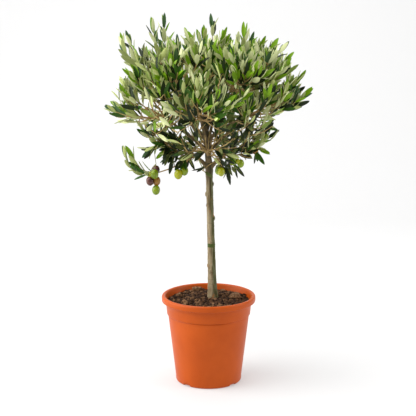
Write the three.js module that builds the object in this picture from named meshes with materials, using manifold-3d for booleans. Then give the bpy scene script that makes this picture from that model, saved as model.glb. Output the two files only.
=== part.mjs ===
// A young olive tree, grown as a small standard with fruit, in a moulded plastic pot filled with soil.
// Millimetres, +Z up. The origin is on the ground under the middle of the pot, and -Y is the front.

import * as THREE from "three";
import { mergeVertices } from "three/addons/utils/BufferGeometryUtils.js";
import Module from "manifold-3d";

const wasm = await Module();
wasm.setup();

// ---------------------------------------------------------------- driving dimensions

const GAP = 0.3; // clear space between solids that touch

// Pot
const POT_HEIGHT = 197;
const RIM_RADIUS = 105;
const RIM_DEPTH = 13.5; // height of the rolled rim
const RIM_ROUND = 4.2; // radius of the rim's rounded edges
const RIM_UNDER_ROUND = 2.4; // and of its lower outer edge
const MOUTH_RADIUS = 96; // inside the rim
const BAND_TOP_RADIUS = 96.5; // collar under the rim
const BAND_LOW_RADIUS = 93;
const STEP_HEIGHT = 154; // where the collar steps in to the body
const STEP_RISE = 2;
const BODY_TOP_RADIUS = 91;
const FOOT_RADIUS = 74;
const FOOT_ROUND = 5;
const WALL = 2.4;
const BASE = 6.5; // thickness of the base
const POT_SIDES = 28;
const NOTCHES = 4; // drain notches in the bottom edge
const NOTCH_WIDTH = 20;
const NOTCH_HEIGHT = 4.6;
const NOTCH_DEPTH = 9;
const NOTCH_TURN = 48; // degrees from +X to the first notch

// Soil
const SOIL_LEVEL = 185; // at the pot's wall
const SOIL_CROWN = 3; // the soil rises this much to the trunk
const SOIL_LUMP = 1.3; // height of its unevenness
const SOIL_WAVES = { x: 0.19, y: 0.23, slant: 0.11, start: 1.3, slantStart: 0.6 }; // radians a millimetre
const MOUND_RADIUS = 75; // the soil rises from here to the trunk
const SEAT_FADE = 20; // the ground gets uneven over this distance from the seat
const WALL_FADE = [1, 14]; // and from the pot's wall
const SOIL_RINGS = [86, 60, 34]; // radii that the uneven ground is measured at
const SOIL_SIDES = 18;
const SEAT_RADIUS = 15; // flat ground that the trunk stands on
const SEAT_DEPTH = 12;
const SEAT_SIDES = 16;
const CLOD_SHAPE = [1.2, 1, 0.8]; // a clod is wider than high
const CLOD_SUNK = 0.1; // share of its radius that a clod's middle lies above the ground
const CLOD_SEED = 5;
const CLODS = [
  { x: -28, y: 68, radius: 9 },
  { x: 60, y: 2, radius: 12 },
  { x: -52, y: -38, radius: 7 },
  { x: 26, y: -60, radius: 6 },
  { x: -68, y: 20, radius: 7 },
  { x: 34, y: 62, radius: 6 },
];

// Trunk, as [height, lean in X, radius] up its middle line
const TRUNK_BACK = 10; // it stands this far behind the pot's middle
const TRUNK_FOOT = SOIL_LEVEL + SOIL_CROWN + GAP;
const TRUNK_TIP = 604;
const TRUNK = [
  [TRUNK_FOOT, 9, 12.6],
  [200, 8.8, 11.2],
  [222, 8, 9.8],
  [300, 6, 8.6],
  [390, 3.4, 7.7],
  [456, 1.6, 7.6],
  [476, 1.2, 8.6],
  [500, 0, 7.2],
  [550, -4, 6],
  [TRUNK_TIP, -8, 4.4],
];
const TRUNK_SIDES = 10;
const TRUNK_STEPS = 15;
const FOOT_CROWDING = 1.35; // rings lie closer together near the flared foot
const KNOT_RADIUS = 3.2;
const KNOT_SUNK = 0.9; // a knot's middle lies this far inside the bark
const KNOT_SHAPE = [1, 1, 1.3];
const KNOTS = [
  // healed pruning scars along the clear stem: height, and degrees round from +X
  [250, -110],
  [262, 200],
  [315, -80],
  [335, 60],
  [370, -8],
  [398, 150],
  [424, 188],
  [447, -12],
];

// Crown: a flattened dome over a tapering underside
const HEART = new THREE.Vector3(2, 0, 545); // the boughs spread from about here
const BELLY_HEIGHT = 640;
const BELLY_RADIUS = 207;
const DOME_RISE = 145;
const DOME_POWER = 2.6;
const UNDER_DROP = 190;
const UNDER_POWER = 1.3;
const FURTHEST = 400; // no part of the crown is as far from its heart
const HALVINGS = 20; // steps in finding its outline

// Where the crown stays open, in tunnels that fall a little from front to back: [x, z, radius]
const TUNNEL_FALL = 0.19;
const HOLLOWS = [
  [-174, 570, 15],
  [-153, 536, 7],
  [199, 578, 32],
  [158, 592, 16],
  [176, 536, 24],
  [146, 547, 12],
  [-137, 631, 12],
];

// Boughs, in tiers of opposite pairs: each ends in a mass of foliage round its own middle point
const TIERS = [
  { tier: "low", pairs: 2, from: 480, rise: 16, ring: 92, height: 536, turn: 176, radius: 5.4, arch: 18 },
  { tier: "middle", pairs: 3, from: 517, rise: 13, ring: 142, height: 622, turn: 20, radius: 4.8, arch: 6 },
  { tier: "upper", pairs: 2, from: 566, rise: 16, ring: 116, height: 706, turn: 50, radius: 4, arch: -4 },
];
const TOP = { tier: "top", ring: 0, height: 738, radius: 4.1 };
const STEM_TIP_RADIUS = 2.5;
const STEM_SIDES = 5;
const STEM_STEPS = 3;
const BOUGH_BEND = 0.42; // share of its spread where a bough bends
const SHORTEST_BOUGH = 0.3; // shares of a bough and its stem
const LONGEST_BOUGH = 0.9;
const BOUGH_TRIED_FROM = 0.12; // its end is sought from here, in steps
const BOUGH_TRY_STEP = 0.01;
const LAST_BUD = 0.99;
const BOUGH_TAPER = 0.8; // power of the taper
const BOUGH_LINKS = 8;
const BOUGH_SIDES = 6;
const BOUGH_STEPS = 4;
const BOUGH_INSIDE = 2; // a bough ends this far inside the space of its mass
const CELL_MARGIN = 1; // each mass keeps this far inside its own space
const LIMB_MARGIN = 2.4; // leaves and twigs keep this far off the limbs

// Twigs and leaves
// Shells of evenly spread shoots: how many, their share of the crown's reach, and the degrees from
// straight up to the lowest of them
const SHELLS = [
  { count: 62, share: 1, lowest: 120 },
  { count: 16, share: 0.82, lowest: 86 },
];
const SHOOT_START = 9; // the first shoot leaves the stem this far past the bough's end
const SHOOT_PITCH = 6.5; // between shoots along a stem
const SHOOT_ANGLE = 38; // degrees that a shoot best leaves its stem at
const LENGTH_WEIGHT = 1 / 400; // radians of a worse angle that a millimetre more of shoot counts for
const SHORTEST_SHOOT = 14;
const SHOOT_BEND = 0.55; // share of its length where a shoot bends
const RISING_SAG = -0.26; // the bend lies this share of its length below the straight line
const FALLING_SAG = 0.1;
const SAG_EASES = [1, 0.5, 0, -0.5]; // tried in turn until the shoot finds room
const TWIG_RADIUS = 1.8;
const TWIG_TIP_RADIUS = 1.4;
const TWIG_SIDES = 3;
const TWIG_STEPS = 2;
const TWIG_PLACES = 14; // places measured on a twig
const TWIG_CLEAR = 1; // least room between a twig and a limb
const LEAF_LENGTH = 70;
const LEAF_WIDTH = 22;
const LEAF_THICKNESS = 1.9;
const LEAF_WIDEST = 0.47; // share of its length
const LEAF_SHORT = 0.9; // a shoot stops this share of a leaf short of its reach
const LEAF_SPREAD = 40; // degrees between a leaf and its twig
const TIP_SPREADS = [5, 36]; // one leaf goes on from the twig's tip
const INTERNODE = 22;
const MOST_PAIRS = 7;
const FIRST_PAIR = 0.97; // share of the twig where the tip's pair stands
const LEAVES_FROM = 0.1; // share of a twig that is bare
const LEAF_SIZES = [0.82, 1.02]; // shares of LEAF_LENGTH
const SPREAD_VARIES = 14; // degrees
const QUARTER_VARIES = 0.5; // radians, in the turn of a pair of leaves
const INTERNODE_VARIES = 0.1;
const LEAF_TRIES = 16;
const LEAF_TURN = 0.22; // radians that a leaf turns round its twig at each further try to find room
const LEAF_OPENS = [1, 1.15, 1.3]; // and how much wider its angle gets, in turn
const LEAF_CLEAR = 3.8; // least distance between places measured on two leaves
const LEAF_PLACES = 8; // places measured along a leaf
const EDGE_FROM = 3; // half width from which its edges are measured too
const FAR_OFF = 80; // leaves whose middles are further apart than this can't meet
const SAME_ROOT = 2; // leaves whose roots are nearer than this are a pair
const JOINED_PAIR = 17.5; // from its root, a leaf may lie this far against the other of its pair
const JOINED_TWIG = 6; // and this far against its twig
const LEAF_SEED = 180;
const GOLDEN_ANGLE = Math.PI * (3 - Math.sqrt(5));

// Where the tip leaves of the crown's longest shoots reach: [x, y, z]
const PEAKS = [
  [-122, -20, 813],
  [-96, 10, 821],
  [-187, -25, 781],
  [-169, 40, 762],
  [-67, -60, 778],
  [-54, 40, 789],
  [7, -15, 820],
  [73, -30, 803],
  [100, 35, 780],
  [125, 20, 772],
  [152, 15, 767],
  [170, -45, 762],
  [184, -10, 738],
  [193, -20, 712],
  [213, 20, 698],
  [228, -12, 660],
  [219, -20, 634],
  [186, -50, 620],
  [162, 25, 562],
  [133, -40, 523],
  [98, -30, 497],
  [79, 10, 462],
  [44, -50, 465],
  [-190, 10, 735],
  [-184, -50, 705],
  [-188, 40, 662],
  [-226, -20, 622],
  [-212, -10, 640],
  [-157, -10, 572],
  [-70, -60, 490],
  [-41, 20, 463],
  [-25, -10, 786],
  [30, 130, 782],
  [-90, 150, 765],
  [140, 140, 725],
  [-10, -150, 770],
  [85, -160, 710],
  [-110, -160, 700],
  [-40, 222, 660],
  [110, 180, 620],
  [30, -218, 640],
  [-130, 140, 560],
  [50, 140, 520],
  [-30, -140, 530],
];

// Long shoots that hang before they turn up: where the tip leaf reaches, and where the shoot bends
const HANGING = [
  { reach: [-188, -26, 546], bend: [-150, -28, 425] },
  { reach: [-84, -34, 474], bend: [-74, -34, 536] },
  { reach: [-144, -26, 508], bend: [-108, -26, 546] },
  { reach: [43, -20, 458], bend: [40, -20, 512] },
];

// Olives: the middle of each bunch's first olive, the side of the stalk that it is on, and how many
const OLIVE_WIDTH = 17;
const OLIVE_LENGTH = 21;
const OLIVE_PITCH = 10; // down the stalk, to one side and the other
const STALK_RADIUS = 0.9;
const OLIVE_ROOM = 0.6; // share of an olive's length kept clear round its middle
const OLIVE_SIDES = 5;
const OLIVE_RINGS = 4;
const OLIVE_SET = 0.75; // share of the stalk's radius that an olive is sunk by
const OLIVE_SKEW = 0.2; // a bunch's two sides lie this much aslant
const STALK_SIDES = 3;
const BUNCHES = [
  { x: -120, y: -27, z: 480, side: 1, olives: 5 },
  { x: -59, y: -30, z: 482, side: 1, olives: 2 },
  { x: 17, y: -46, z: 485, side: 1, olives: 1 },
  { x: 61, y: -42, z: 505, side: -1, olives: 2 },
  { x: 94, y: -38, z: 538, side: -1, olives: 2 },
  { x: 116, y: -18, z: 557, side: 1, olives: 1 },
  { x: -50, y: 95, z: 500, side: 1, olives: 2 },
  { x: 60, y: 100, z: 505, side: -1, olives: 1 },
];

// ---------------------------------------------------------------- shared helpers

const radians = THREE.MathUtils.degToRad;
const UP = new THREE.Vector3(0, 0, 1);

// A repeatable run of numbers from 0 to 1.
function seeded(seed) {
  let state = (seed * 7919 + 12345) % 2147483647;
  const next = () => {
    state = (state * 48271) % 2147483647;
    return state / 2147483647;
  };
  next();
  next();
  return next;
}

// A closed geometry as a solid that can be cut and joined.
function solid(geometry) {
  const bare = geometry.clone();
  bare.deleteAttribute("normal");
  bare.deleteAttribute("uv");
  const merged = mergeVertices(bare, 1e-4);
  return new wasm.Manifold(
    new wasm.Mesh({
      numProp: 3,
      vertProperties: merged.attributes.position.array,
      triVerts: new Uint32Array(merged.index.array),
    }),
  );
}

// A value moved at random by up to half its spread to either side.
function varied(value, spread, random) {
  return value + spread * (random() - 0.5);
}

// The largest body of a solid, so that loose scraps are dropped.
function mainBody(body) {
  return body.decompose().reduce((a, b) => (b.volume() > a.volume() ? b : a));
}

function fused(geometries) {
  return mainBody(wasm.Manifold.union(geometries.map(solid)));
}

function geometryOf(body) {
  const mesh = body.getMesh();
  return new THREE.BufferGeometry()
    .setAttribute("position", new THREE.BufferAttribute(Float32Array.from(mesh.vertProperties), 3))
    .setIndex(new THREE.BufferAttribute(Uint32Array.from(mesh.triVerts), 1))
    .toNonIndexed();
}

function lathe(outline, sides) {
  return new THREE.LatheGeometry(outline, sides).rotateX(Math.PI / 2);
}

function arc(r, z, radius, from, to, steps) {
  return Array.from({ length: steps + 1 }, (_, i) => {
    const angle = radians(from + ((to - from) * i) / steps);
    return new THREE.Vector2(r + radius * Math.cos(angle), z + radius * Math.sin(angle));
  });
}

// A limb that follows a curve and tapers: a cylinder bent along it, with flat ends.
function limb(curve, radiusAt, sides, steps) {
  const geometry = new THREE.CylinderGeometry(1, 1, 1, sides, steps);
  const frames = curve.computeFrenetFrames(steps);
  const centres = curve.getSpacedPoints(steps);
  const place = geometry.attributes.position;
  for (let i = 0; i < place.count; i++) {
    const ring = Math.round((place.getY(i) + 0.5) * steps);
    const radius = radiusAt(ring / steps);
    const spot = centres[ring]
      .clone()
      .addScaledVector(frames.normals[ring], place.getX(i) * radius)
      .addScaledVector(frames.binormals[ring], -place.getZ(i) * radius);
    place.setXYZ(i, spot.x, spot.y, spot.z);
  }
  return geometry;
}

// Part of a curve, as a curve of its own.
function stretch(curve, from, to, points = 9) {
  const spots = Array.from({ length: points }, (_, i) =>
    curve.getPointAt(from + ((to - from) * i) / (points - 1)),
  );
  return new THREE.CatmullRomCurve3(spots);
}

// ---------------------------------------------------------------- pot

function potOutline() {
  const rimLow = POT_HEIGHT - RIM_DEPTH;
  const point = (r, z) => new THREE.Vector2(r, z);
  return [
    point(0, 0),
    ...arc(FOOT_RADIUS - FOOT_ROUND, FOOT_ROUND, FOOT_ROUND, -90, 0, 3),
    point(BODY_TOP_RADIUS, STEP_HEIGHT),
    point(BAND_LOW_RADIUS, STEP_HEIGHT + STEP_RISE),
    point(BAND_TOP_RADIUS, rimLow),
    ...arc(RIM_RADIUS - RIM_UNDER_ROUND, rimLow + RIM_UNDER_ROUND, RIM_UNDER_ROUND, -90, 0, 2),
    ...arc(RIM_RADIUS - RIM_ROUND, POT_HEIGHT - RIM_ROUND, RIM_ROUND, 0, 90, 3),
    ...arc(MOUTH_RADIUS + RIM_ROUND, POT_HEIGHT - RIM_ROUND, RIM_ROUND, 90, 180, 3),
    point(innerRadius(rimLow), rimLow),
    point(innerRadius(STEP_HEIGHT), STEP_HEIGHT),
    point(innerRadius(BASE), BASE),
    point(0, BASE),
  ];
}

// The pot's inside radius at a height below its mouth.
function innerRadius(z) {
  const share = (z - FOOT_ROUND) / (STEP_HEIGHT - FOOT_ROUND);
  return Math.min(
    THREE.MathUtils.lerp(FOOT_RADIUS, BODY_TOP_RADIUS, share) - WALL,
    MOUTH_RADIUS - WALL / 2,
  );
}

function potBody() {
  let body = solid(lathe(potOutline(), POT_SIDES));
  for (let i = 0; i < NOTCHES; i++) {
    const notch = new THREE.BoxGeometry(2 * NOTCH_DEPTH, NOTCH_WIDTH, 2 * NOTCH_HEIGHT)
      .translate(FOOT_RADIUS, 0, 0)
      .rotateZ(radians(NOTCH_TURN + (i * 360) / NOTCHES));
    body = body.subtract(solid(notch));
  }
  return body;
}

// ---------------------------------------------------------------- soil

// The unevenness of the ground, which fades out under the trunk and at the pot's wall.
function groundHeight(x, y) {
  const middle = Math.hypot(x - TRUNK[0][1], y - TRUNK_BACK);
  const edge = innerRadius(SOIL_LEVEL) - Math.hypot(x, y);
  const waves = SOIL_WAVES;
  const lumps =
    Math.sin(x * waves.x + waves.start) * Math.cos(y * waves.y) +
    Math.sin((x + y) * waves.slant + waves.slantStart);
  const fade =
    THREE.MathUtils.smoothstep(middle, SEAT_RADIUS, SEAT_RADIUS + SEAT_FADE) *
    THREE.MathUtils.smoothstep(edge, ...WALL_FADE);
  const crown = SOIL_CROWN * (1 - THREE.MathUtils.smoothstep(middle, SEAT_RADIUS, MOUND_RADIUS));
  return SOIL_LEVEL + crown + SOIL_LUMP * lumps * fade;
}

function soilBody() {
  const floor = BASE + GAP;
  const wall = (z) => new THREE.Vector2(innerRadius(z) * Math.cos(Math.PI / POT_SIDES) - GAP, z);
  const outline = [
    new THREE.Vector2(0, floor),
    wall(floor),
    wall(STEP_HEIGHT),
    wall(SOIL_LEVEL),
    ...SOIL_RINGS.map((r) => new THREE.Vector2(r, SOIL_LEVEL)),
    new THREE.Vector2(0, SOIL_LEVEL),
  ];
  const ground = lathe(outline, SOIL_SIDES);
  const place = ground.attributes.position;
  for (let i = 0; i < place.count; i++) {
    const [x, y, z] = [place.getX(i), place.getY(i), place.getZ(i)];
    const onTop = z > SOIL_LEVEL - 0.01 && Math.hypot(x, y) < SOIL_RINGS[0] + 0.1;
    if (onTop) place.setZ(i, groundHeight(x, y));
  }
  const seat = new THREE.CylinderGeometry(SEAT_RADIUS, SEAT_RADIUS, SEAT_DEPTH, SEAT_SIDES)
    .rotateX(Math.PI / 2)
    .translate(TRUNK[0][1], TRUNK_BACK, SOIL_LEVEL + SOIL_CROWN - SEAT_DEPTH / 2);
  const random = seeded(CLOD_SEED);
  const clods = CLODS.map(({ x, y, radius }) =>
    new THREE.IcosahedronGeometry(radius)
      .scale(...CLOD_SHAPE)
      .rotateZ(2 * Math.PI * random())
      .translate(x, y, groundHeight(x, y) + CLOD_SUNK * radius),
  );
  return fused([ground, seat, ...clods]);
}

// ---------------------------------------------------------------- trunk

// Straight-line reading of the trunk's table: the middle line and radius at a height.
function trunkAt(height) {
  let i = 1;
  while (i < TRUNK.length - 1 && TRUNK[i][0] < height) i++;
  const [low, high] = [TRUNK[i - 1], TRUNK[i]];
  const share = THREE.MathUtils.clamp((height - low[0]) / (high[0] - low[0]), 0, 1);
  return {
    spot: new THREE.Vector3(THREE.MathUtils.lerp(low[1], high[1], share), TRUNK_BACK, height),
    radius: THREE.MathUtils.lerp(low[2], high[2], share),
  };
}

function trunkGeometry(extra) {
  const geometry = new THREE.CylinderGeometry(1, 1, 1, TRUNK_SIDES, TRUNK_STEPS);
  const place = geometry.attributes.position;
  const height = TRUNK_TIP - TRUNK_FOOT;
  for (let i = 0; i < place.count; i++) {
    const share = place.getY(i) + 0.5;
    const z = TRUNK_FOOT + height * share ** FOOT_CROWDING;
    const { spot, radius } = trunkAt(z);
    const reach = radius + extra;
    place.setXYZ(i, spot.x + place.getX(i) * reach, spot.y - place.getZ(i) * reach, z);
  }
  return geometry;
}

function trunkBody() {
  const knots = KNOTS.map(([height, turn]) => {
    const { spot, radius } = trunkAt(height);
    return new THREE.IcosahedronGeometry(KNOT_RADIUS)
      .scale(...KNOT_SHAPE)
      .translate(
        spot.x + (radius - KNOT_SUNK) * Math.cos(radians(turn)),
        spot.y + (radius - KNOT_SUNK) * Math.sin(radians(turn)),
        spot.z,
      );
  });
  return fused([trunkGeometry(0), ...knots]);
}

// ---------------------------------------------------------------- boughs and the spaces of the masses

// Every bough with its middle line, which runs on as the stem of its mass.
function planBoughs() {
  const planned = [];
  for (const row of TIERS) {
    for (let i = 0; i < 2 * row.pairs; i++) {
      const pair = Math.floor(i / 2);
      const around = radians(row.turn + (i % 2) * 180 + (pair * 180) / row.pairs);
      const out = new THREE.Vector3(Math.cos(around), Math.sin(around), 0);
      const from = trunkAt(row.from + pair * row.rise).spot;
      const middle = HEART.clone().addScaledVector(out, row.ring).setZ(row.height);
      const bend = from.clone().addScaledVector(out, row.ring * BOUGH_BEND);
      bend.z = (from.z + middle.z) / 2 + row.arch;
      const line = new THREE.QuadraticBezierCurve3(from, bend, middle);
      planned.push({ name: row.tier + "_" + (i + 1), row, middle, line });
    }
  }
  const tip = trunkAt(TRUNK_TIP).spot;
  const middle = HEART.clone().setZ(TOP.height);
  const bend = tip.clone().lerp(middle, 0.5);
  const line = new THREE.QuadraticBezierCurve3(tip, bend, middle);
  planned.push({ name: TOP.tier, row: TOP, middle, line });
  return planned;
}

const boughs = planBoughs();

// How far a point lies inside the space of one mass: the points nearer to its middle than to any other.
function roomInside(spot, mass) {
  let room = Infinity;
  for (const other of boughs) {
    if (other === mass) continue;
    const apart = other.middle.distanceTo(mass.middle);
    const lead = spot.distanceToSquared(other.middle) - spot.distanceToSquared(mass.middle);
    room = Math.min(room, lead / (2 * apart));
  }
  return room;
}

function massAt(spot) {
  return boughs.reduce((a, b) =>
    b.middle.distanceToSquared(spot) < a.middle.distanceToSquared(spot) ? b : a,
  );
}

// A bough ends just after it enters the space of its mass.
for (const bough of boughs) {
  bough.length = bough.line.getLength();
  let share = BOUGH_TRIED_FROM;
  while (roomInside(bough.line.getPointAt(share), bough) < BOUGH_INSIDE && share < LONGEST_BOUGH) {
    share += BOUGH_TRY_STEP;
  }
  bough.end = Math.max(share, SHORTEST_BOUGH);
  bough.buds = [];
  for (let along = SHOOT_START; along < (LAST_BUD - bough.end) * bough.length; along += SHOOT_PITCH) {
    bough.buds.push(bough.end + along / bough.length);
  }
}

function boughRadius(bough, share) {
  return THREE.MathUtils.lerp(bough.row.radius, STEM_TIP_RADIUS, share ** BOUGH_TAPER);
}

function boughBody(bough, trunkRoom) {
  const start = bough.row === TOP ? GAP / bough.length : 0;
  const line = stretch(bough.line, start, bough.end);
  const shape = limb(line, (s) => boughRadius(bough, s * bough.end), BOUGH_SIDES, BOUGH_STEPS);
  return mainBody(solid(shape).subtract(trunkRoom));
}

// Limbs as chains of round links, for keeping leaves off them.
const links = [];
for (let i = 1; i < TRUNK.length; i++) {
  const [low, high] = [TRUNK[i - 1], TRUNK[i]];
  links.push({
    line: new THREE.Line3(trunkAt(low[0]).spot, trunkAt(high[0]).spot),
    radius: Math.max(low[2], high[2]),
  });
}
for (const bough of boughs) {
  for (let i = 0; i < BOUGH_LINKS; i++) {
    const [from, to] = [i, i + 1].map((n) => (bough.end * n) / BOUGH_LINKS);
    links.push({
      line: new THREE.Line3(bough.line.getPointAt(from), bough.line.getPointAt(to)),
      radius: boughRadius(bough, from),
    });
  }
}

function clearOfLimbs(spots, margin) {
  const nearest = new THREE.Vector3();
  return spots.every((spot) =>
    links.every((link) => {
      link.line.closestPointToPoint(spot, true, nearest);
      return nearest.distanceTo(spot) > link.radius + margin;
    }),
  );
}

// ---------------------------------------------------------------- shoots

function crownRadius(z) {
  const above = z > BELLY_HEIGHT;
  const power = above ? DOME_POWER : UNDER_POWER;
  const share = Math.abs(z - BELLY_HEIGHT) / (above ? DOME_RISE : UNDER_DROP);
  return share >= 1 ? 0 : BELLY_RADIUS * (1 - share ** power) ** (1 / power);
}

// The distance from the crown's heart to its outline in one direction.
function reachOf(direction) {
  let [inside, outside] = [0, FURTHEST];
  for (let i = 0; i < HALVINGS; i++) {
    const reach = (inside + outside) / 2;
    const flat = Math.hypot(direction.x, direction.y) * reach;
    if (flat < crownRadius(HEART.z + direction.z * reach)) inside = reach;
    else outside = reach;
  }
  return inside;
}

function inHollow(spots) {
  return HOLLOWS.some(([x, z, radius]) =>
    spots.some((spot) => Math.hypot(spot.x - x, spot.z + TUNNEL_FALL * spot.y - z) < radius),
  );
}

// Where shoots reach, spread evenly round the heart by the golden angle.
function shellReaches({ count, share, lowest }) {
  return Array.from({ length: count }, (_, i) => {
    const z = 1 - ((1 - Math.cos(radians(lowest))) * (i + 0.5)) / count;
    const flat = Math.sqrt(1 - z * z);
    const around = i * GOLDEN_ANGLE;
    const direction = new THREE.Vector3(flat * Math.cos(around), flat * Math.sin(around), z);
    return direction.multiplyScalar(reachOf(direction) * share).add(HEART);
  });
}

// A shoot's tip, one leaf short of where its last leaf reaches.
function inset(reach, from) {
  const way = reach.clone().sub(from).normalize();
  return reach.clone().addScaledVector(way, -LEAF_LENGTH * LEAF_SHORT);
}

// The middle line of a shoot: it leaves the stem forwards and turns up, or down below the heart, unless it
// has a bend of its own. Its last leaf goes straight on to its reach. Each place on a stem carries one shoot.
function shootLine(mass, { reach, bend: ownBend }) {
  const score = (share) => {
    const from = mass.line.getPointAt(share);
    const way = reach.clone().sub(from);
    const angle = way.angleTo(mass.line.getTangentAt(share));
    return Math.abs(angle - radians(SHOOT_ANGLE)) + way.length() * LENGTH_WEIGHT;
  };
  const sag = reach.z > HEART.z ? RISING_SAG : FALLING_SAG;
  for (const share of mass.buds.sort((a, b) => score(a) - score(b))) {
    const from = mass.line.getPointAt(share);
    const whole = from.distanceTo(reach);
    const length = whole - LEAF_LENGTH * LEAF_SHORT;
    if (length < SHORTEST_SHOOT) continue;
    for (const ease of SAG_EASES) {
      const bend = ownBend ?? from.clone().lerp(reach, (SHOOT_BEND * length) / whole);
      if (!ownBend) bend.z += sag * ease * length;
      const line = new THREE.QuadraticBezierCurve3(from, bend, inset(reach, bend));
      if (twigFits(line, mass)) {
        mass.buds.splice(mass.buds.indexOf(share), 1);
        return line;
      }
    }
  }
  return null;
}

function twigFits(line, mass) {
  const spots = line.getSpacedPoints(TWIG_PLACES);
  return (
    !inHollow(spots) &&
    spots.every((spot) => roomInside(spot, mass) > CELL_MARGIN + TWIG_RADIUS) &&
    clearOfLimbs(spots, TWIG_RADIUS + TWIG_CLEAR)
  );
}

// A leaf as a blade with a keel under it, widest a little below its middle.
function leafGeometry(leaf) {
  const geometry = new THREE.SphereGeometry(1, 3, 2);
  const place = geometry.attributes.position;
  const middle = leaf.root.clone().lerp(leaf.tip, LEAF_WIDEST);
  for (let i = 0; i < place.count; i++) {
    const along = place.getY(i);
    const spot = along > 0.5 ? leaf.tip.clone() : along < -0.5 ? leaf.root.clone() : middle.clone();
    spot.addScaledVector(leaf.side, (-place.getZ(i) / Math.sin(Math.PI / 3)) * (LEAF_WIDTH / 2));
    spot.addScaledVector(leaf.face, (place.getX(i) / 1.5) * LEAF_THICKNESS);
    place.setXYZ(i, spot.x, spot.y, spot.z);
  }
  return geometry;
}

// Places on a leaf's midrib and edges.
function leafSpots(leaf) {
  const spots = [];
  for (let i = 1; i <= LEAF_PLACES; i++) {
    const share = i / LEAF_PLACES;
    const half = (LEAF_WIDTH / 2) * Math.min(share / LEAF_WIDEST, (1 - share) / (1 - LEAF_WIDEST));
    const spot = leaf.root.clone().lerp(leaf.tip, share);
    spots.push(spot);
    if (half > EDGE_FROM) spots.push(spot.clone().addScaledVector(leaf.side, half));
    if (half > EDGE_FROM) spots.push(spot.clone().addScaledVector(leaf.side, -half));
  }
  return spots;
}

// One leaf that leaves a twig at an angle, with its upper face turned to the twig's tip.
function leafOn(twig, share, around, spread, length) {
  const root = twig.getPointAt(share);
  const tangent = twig.getTangentAt(share);
  const flat = new THREE.Vector3().crossVectors(tangent, UP);
  if (flat.length() < 0.05) flat.set(1, 0, 0);
  flat.normalize().applyAxisAngle(tangent, around);
  const way = tangent.clone().multiplyScalar(Math.cos(spread)).addScaledVector(flat, Math.sin(spread));
  const side = new THREE.Vector3().crossVectors(way, flat).normalize();
  const face = new THREE.Vector3().crossVectors(side, way).normalize();
  const tip = root.clone().addScaledVector(way, length);
  return { root, tip, side, face, middle: root.clone().lerp(tip, 0.5) };
}

// Leaves in opposite pairs, each pair a quarter turn from the last, and one pair at the tip.
function leavesOn(mass, line, taken, random) {
  const length = line.getLength();
  const made = [];
  for (let pair = 0; pair < MOST_PAIRS; pair++) {
    const share = FIRST_PAIR - (pair * INTERNODE * varied(1, INTERNODE_VARIES, random)) / length;
    if (share < LEAVES_FROM) break;
    const quarter = varied((pair * Math.PI) / 2, QUARTER_VARIES, random);
    for (const half of [0, 1]) {
      const spread = radians(pair === 0 ? TIP_SPREADS[half] : varied(LEAF_SPREAD, SPREAD_VARIES, random));
      const size = pair + half === 0 ? LEAF_SHORT : THREE.MathUtils.lerp(...LEAF_SIZES, random());
      for (let attempt = 0; attempt < LEAF_TRIES; attempt++) {
        const turn = LEAF_TURN * attempt * (attempt % 2 ? 1 : -1);
        const open = spread * LEAF_OPENS[attempt % LEAF_OPENS.length];
        const leaf = leafOn(line, share, quarter + half * Math.PI + turn, open, size * LEAF_LENGTH);
        const spots = leafSpots(leaf);
        if (leafFits(leaf, spots, mass, taken)) {
          made.push(leaf);
          taken.push({ spots, middle: leaf.middle, root: leaf.root });
          break;
        }
      }
    }
  }
  return made;
}

// Whether a leaf keeps to its mass, clear of the limbs and of the leaves and twigs already there.
function leafFits(leaf, spots, mass, taken) {
  return (
    !inHollow(spots) &&
    spots.every((spot) => roomInside(spot, mass) > CELL_MARGIN + LEAF_THICKNESS / 2) &&
    clearOfLimbs(spots, LIMB_MARGIN) &&
    taken.every((other) => {
      if (other.middle.distanceTo(leaf.middle) > FAR_OFF) return true;
      const joined = other.root.distanceTo(leaf.root) < SAME_ROOT ? JOINED_PAIR : JOINED_TWIG;
      return spots
        .filter((spot) => spot.distanceTo(leaf.root) > joined)
        .every((spot) => other.spots.every((place) => place.distanceTo(spot) > LEAF_CLEAR));
    })
  );
}

// ---------------------------------------------------------------- olives

// Olives on both sides of a stalk that comes down from the nearest twig above.
function oliveBunch(bunch, mass, twigs) {
  const neck = new THREE.Vector3(bunch.x, bunch.y, bunch.z + OLIVE_LENGTH / 2);
  const places = twigs
    .flatMap((twig) => twig.getSpacedPoints(TWIG_PLACES).slice(1))
    .filter((spot) => spot.z > bunch.z);
  if (!places.length) return [];
  const top = places.reduce((a, b) => (b.distanceTo(neck) < a.distanceTo(neck) ? b : a));
  const parts = [];
  const foot = neck.clone();
  for (let i = 0; i < bunch.olives; i++) {
    const out = (i % 2 ? -1 : 1) * bunch.side * (OLIVE_WIDTH / 2 - STALK_RADIUS * OLIVE_SET);
    const middle = new THREE.Vector3(bunch.x + out, bunch.y + out * OLIVE_SKEW, bunch.z - i * OLIVE_PITCH);
    const clear = OLIVE_LENGTH * OLIVE_ROOM;
    if (roomInside(middle, mass) < clear || !clearOfLimbs([middle], clear)) break;
    const olive = new THREE.SphereGeometry(0.5, OLIVE_SIDES, OLIVE_RINGS)
      .rotateX(Math.PI / 2)
      .scale(OLIVE_WIDTH, OLIVE_WIDTH, OLIVE_LENGTH)
      .translate(middle.x, middle.y, middle.z);
    parts.push(olive);
    foot.z = middle.z;
  }
  if (!parts.length) return parts;
  const stalk = [top, neck.clone().setZ(neck.z - STALK_RADIUS)];
  for (const [a, b] of [stalk, [neck, foot]]) {
    parts.push(limb(new THREE.LineCurve3(a, b), () => STALK_RADIUS, STALK_SIDES, 1));
  }
  return parts;
}

// ---------------------------------------------------------------- masses

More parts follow.
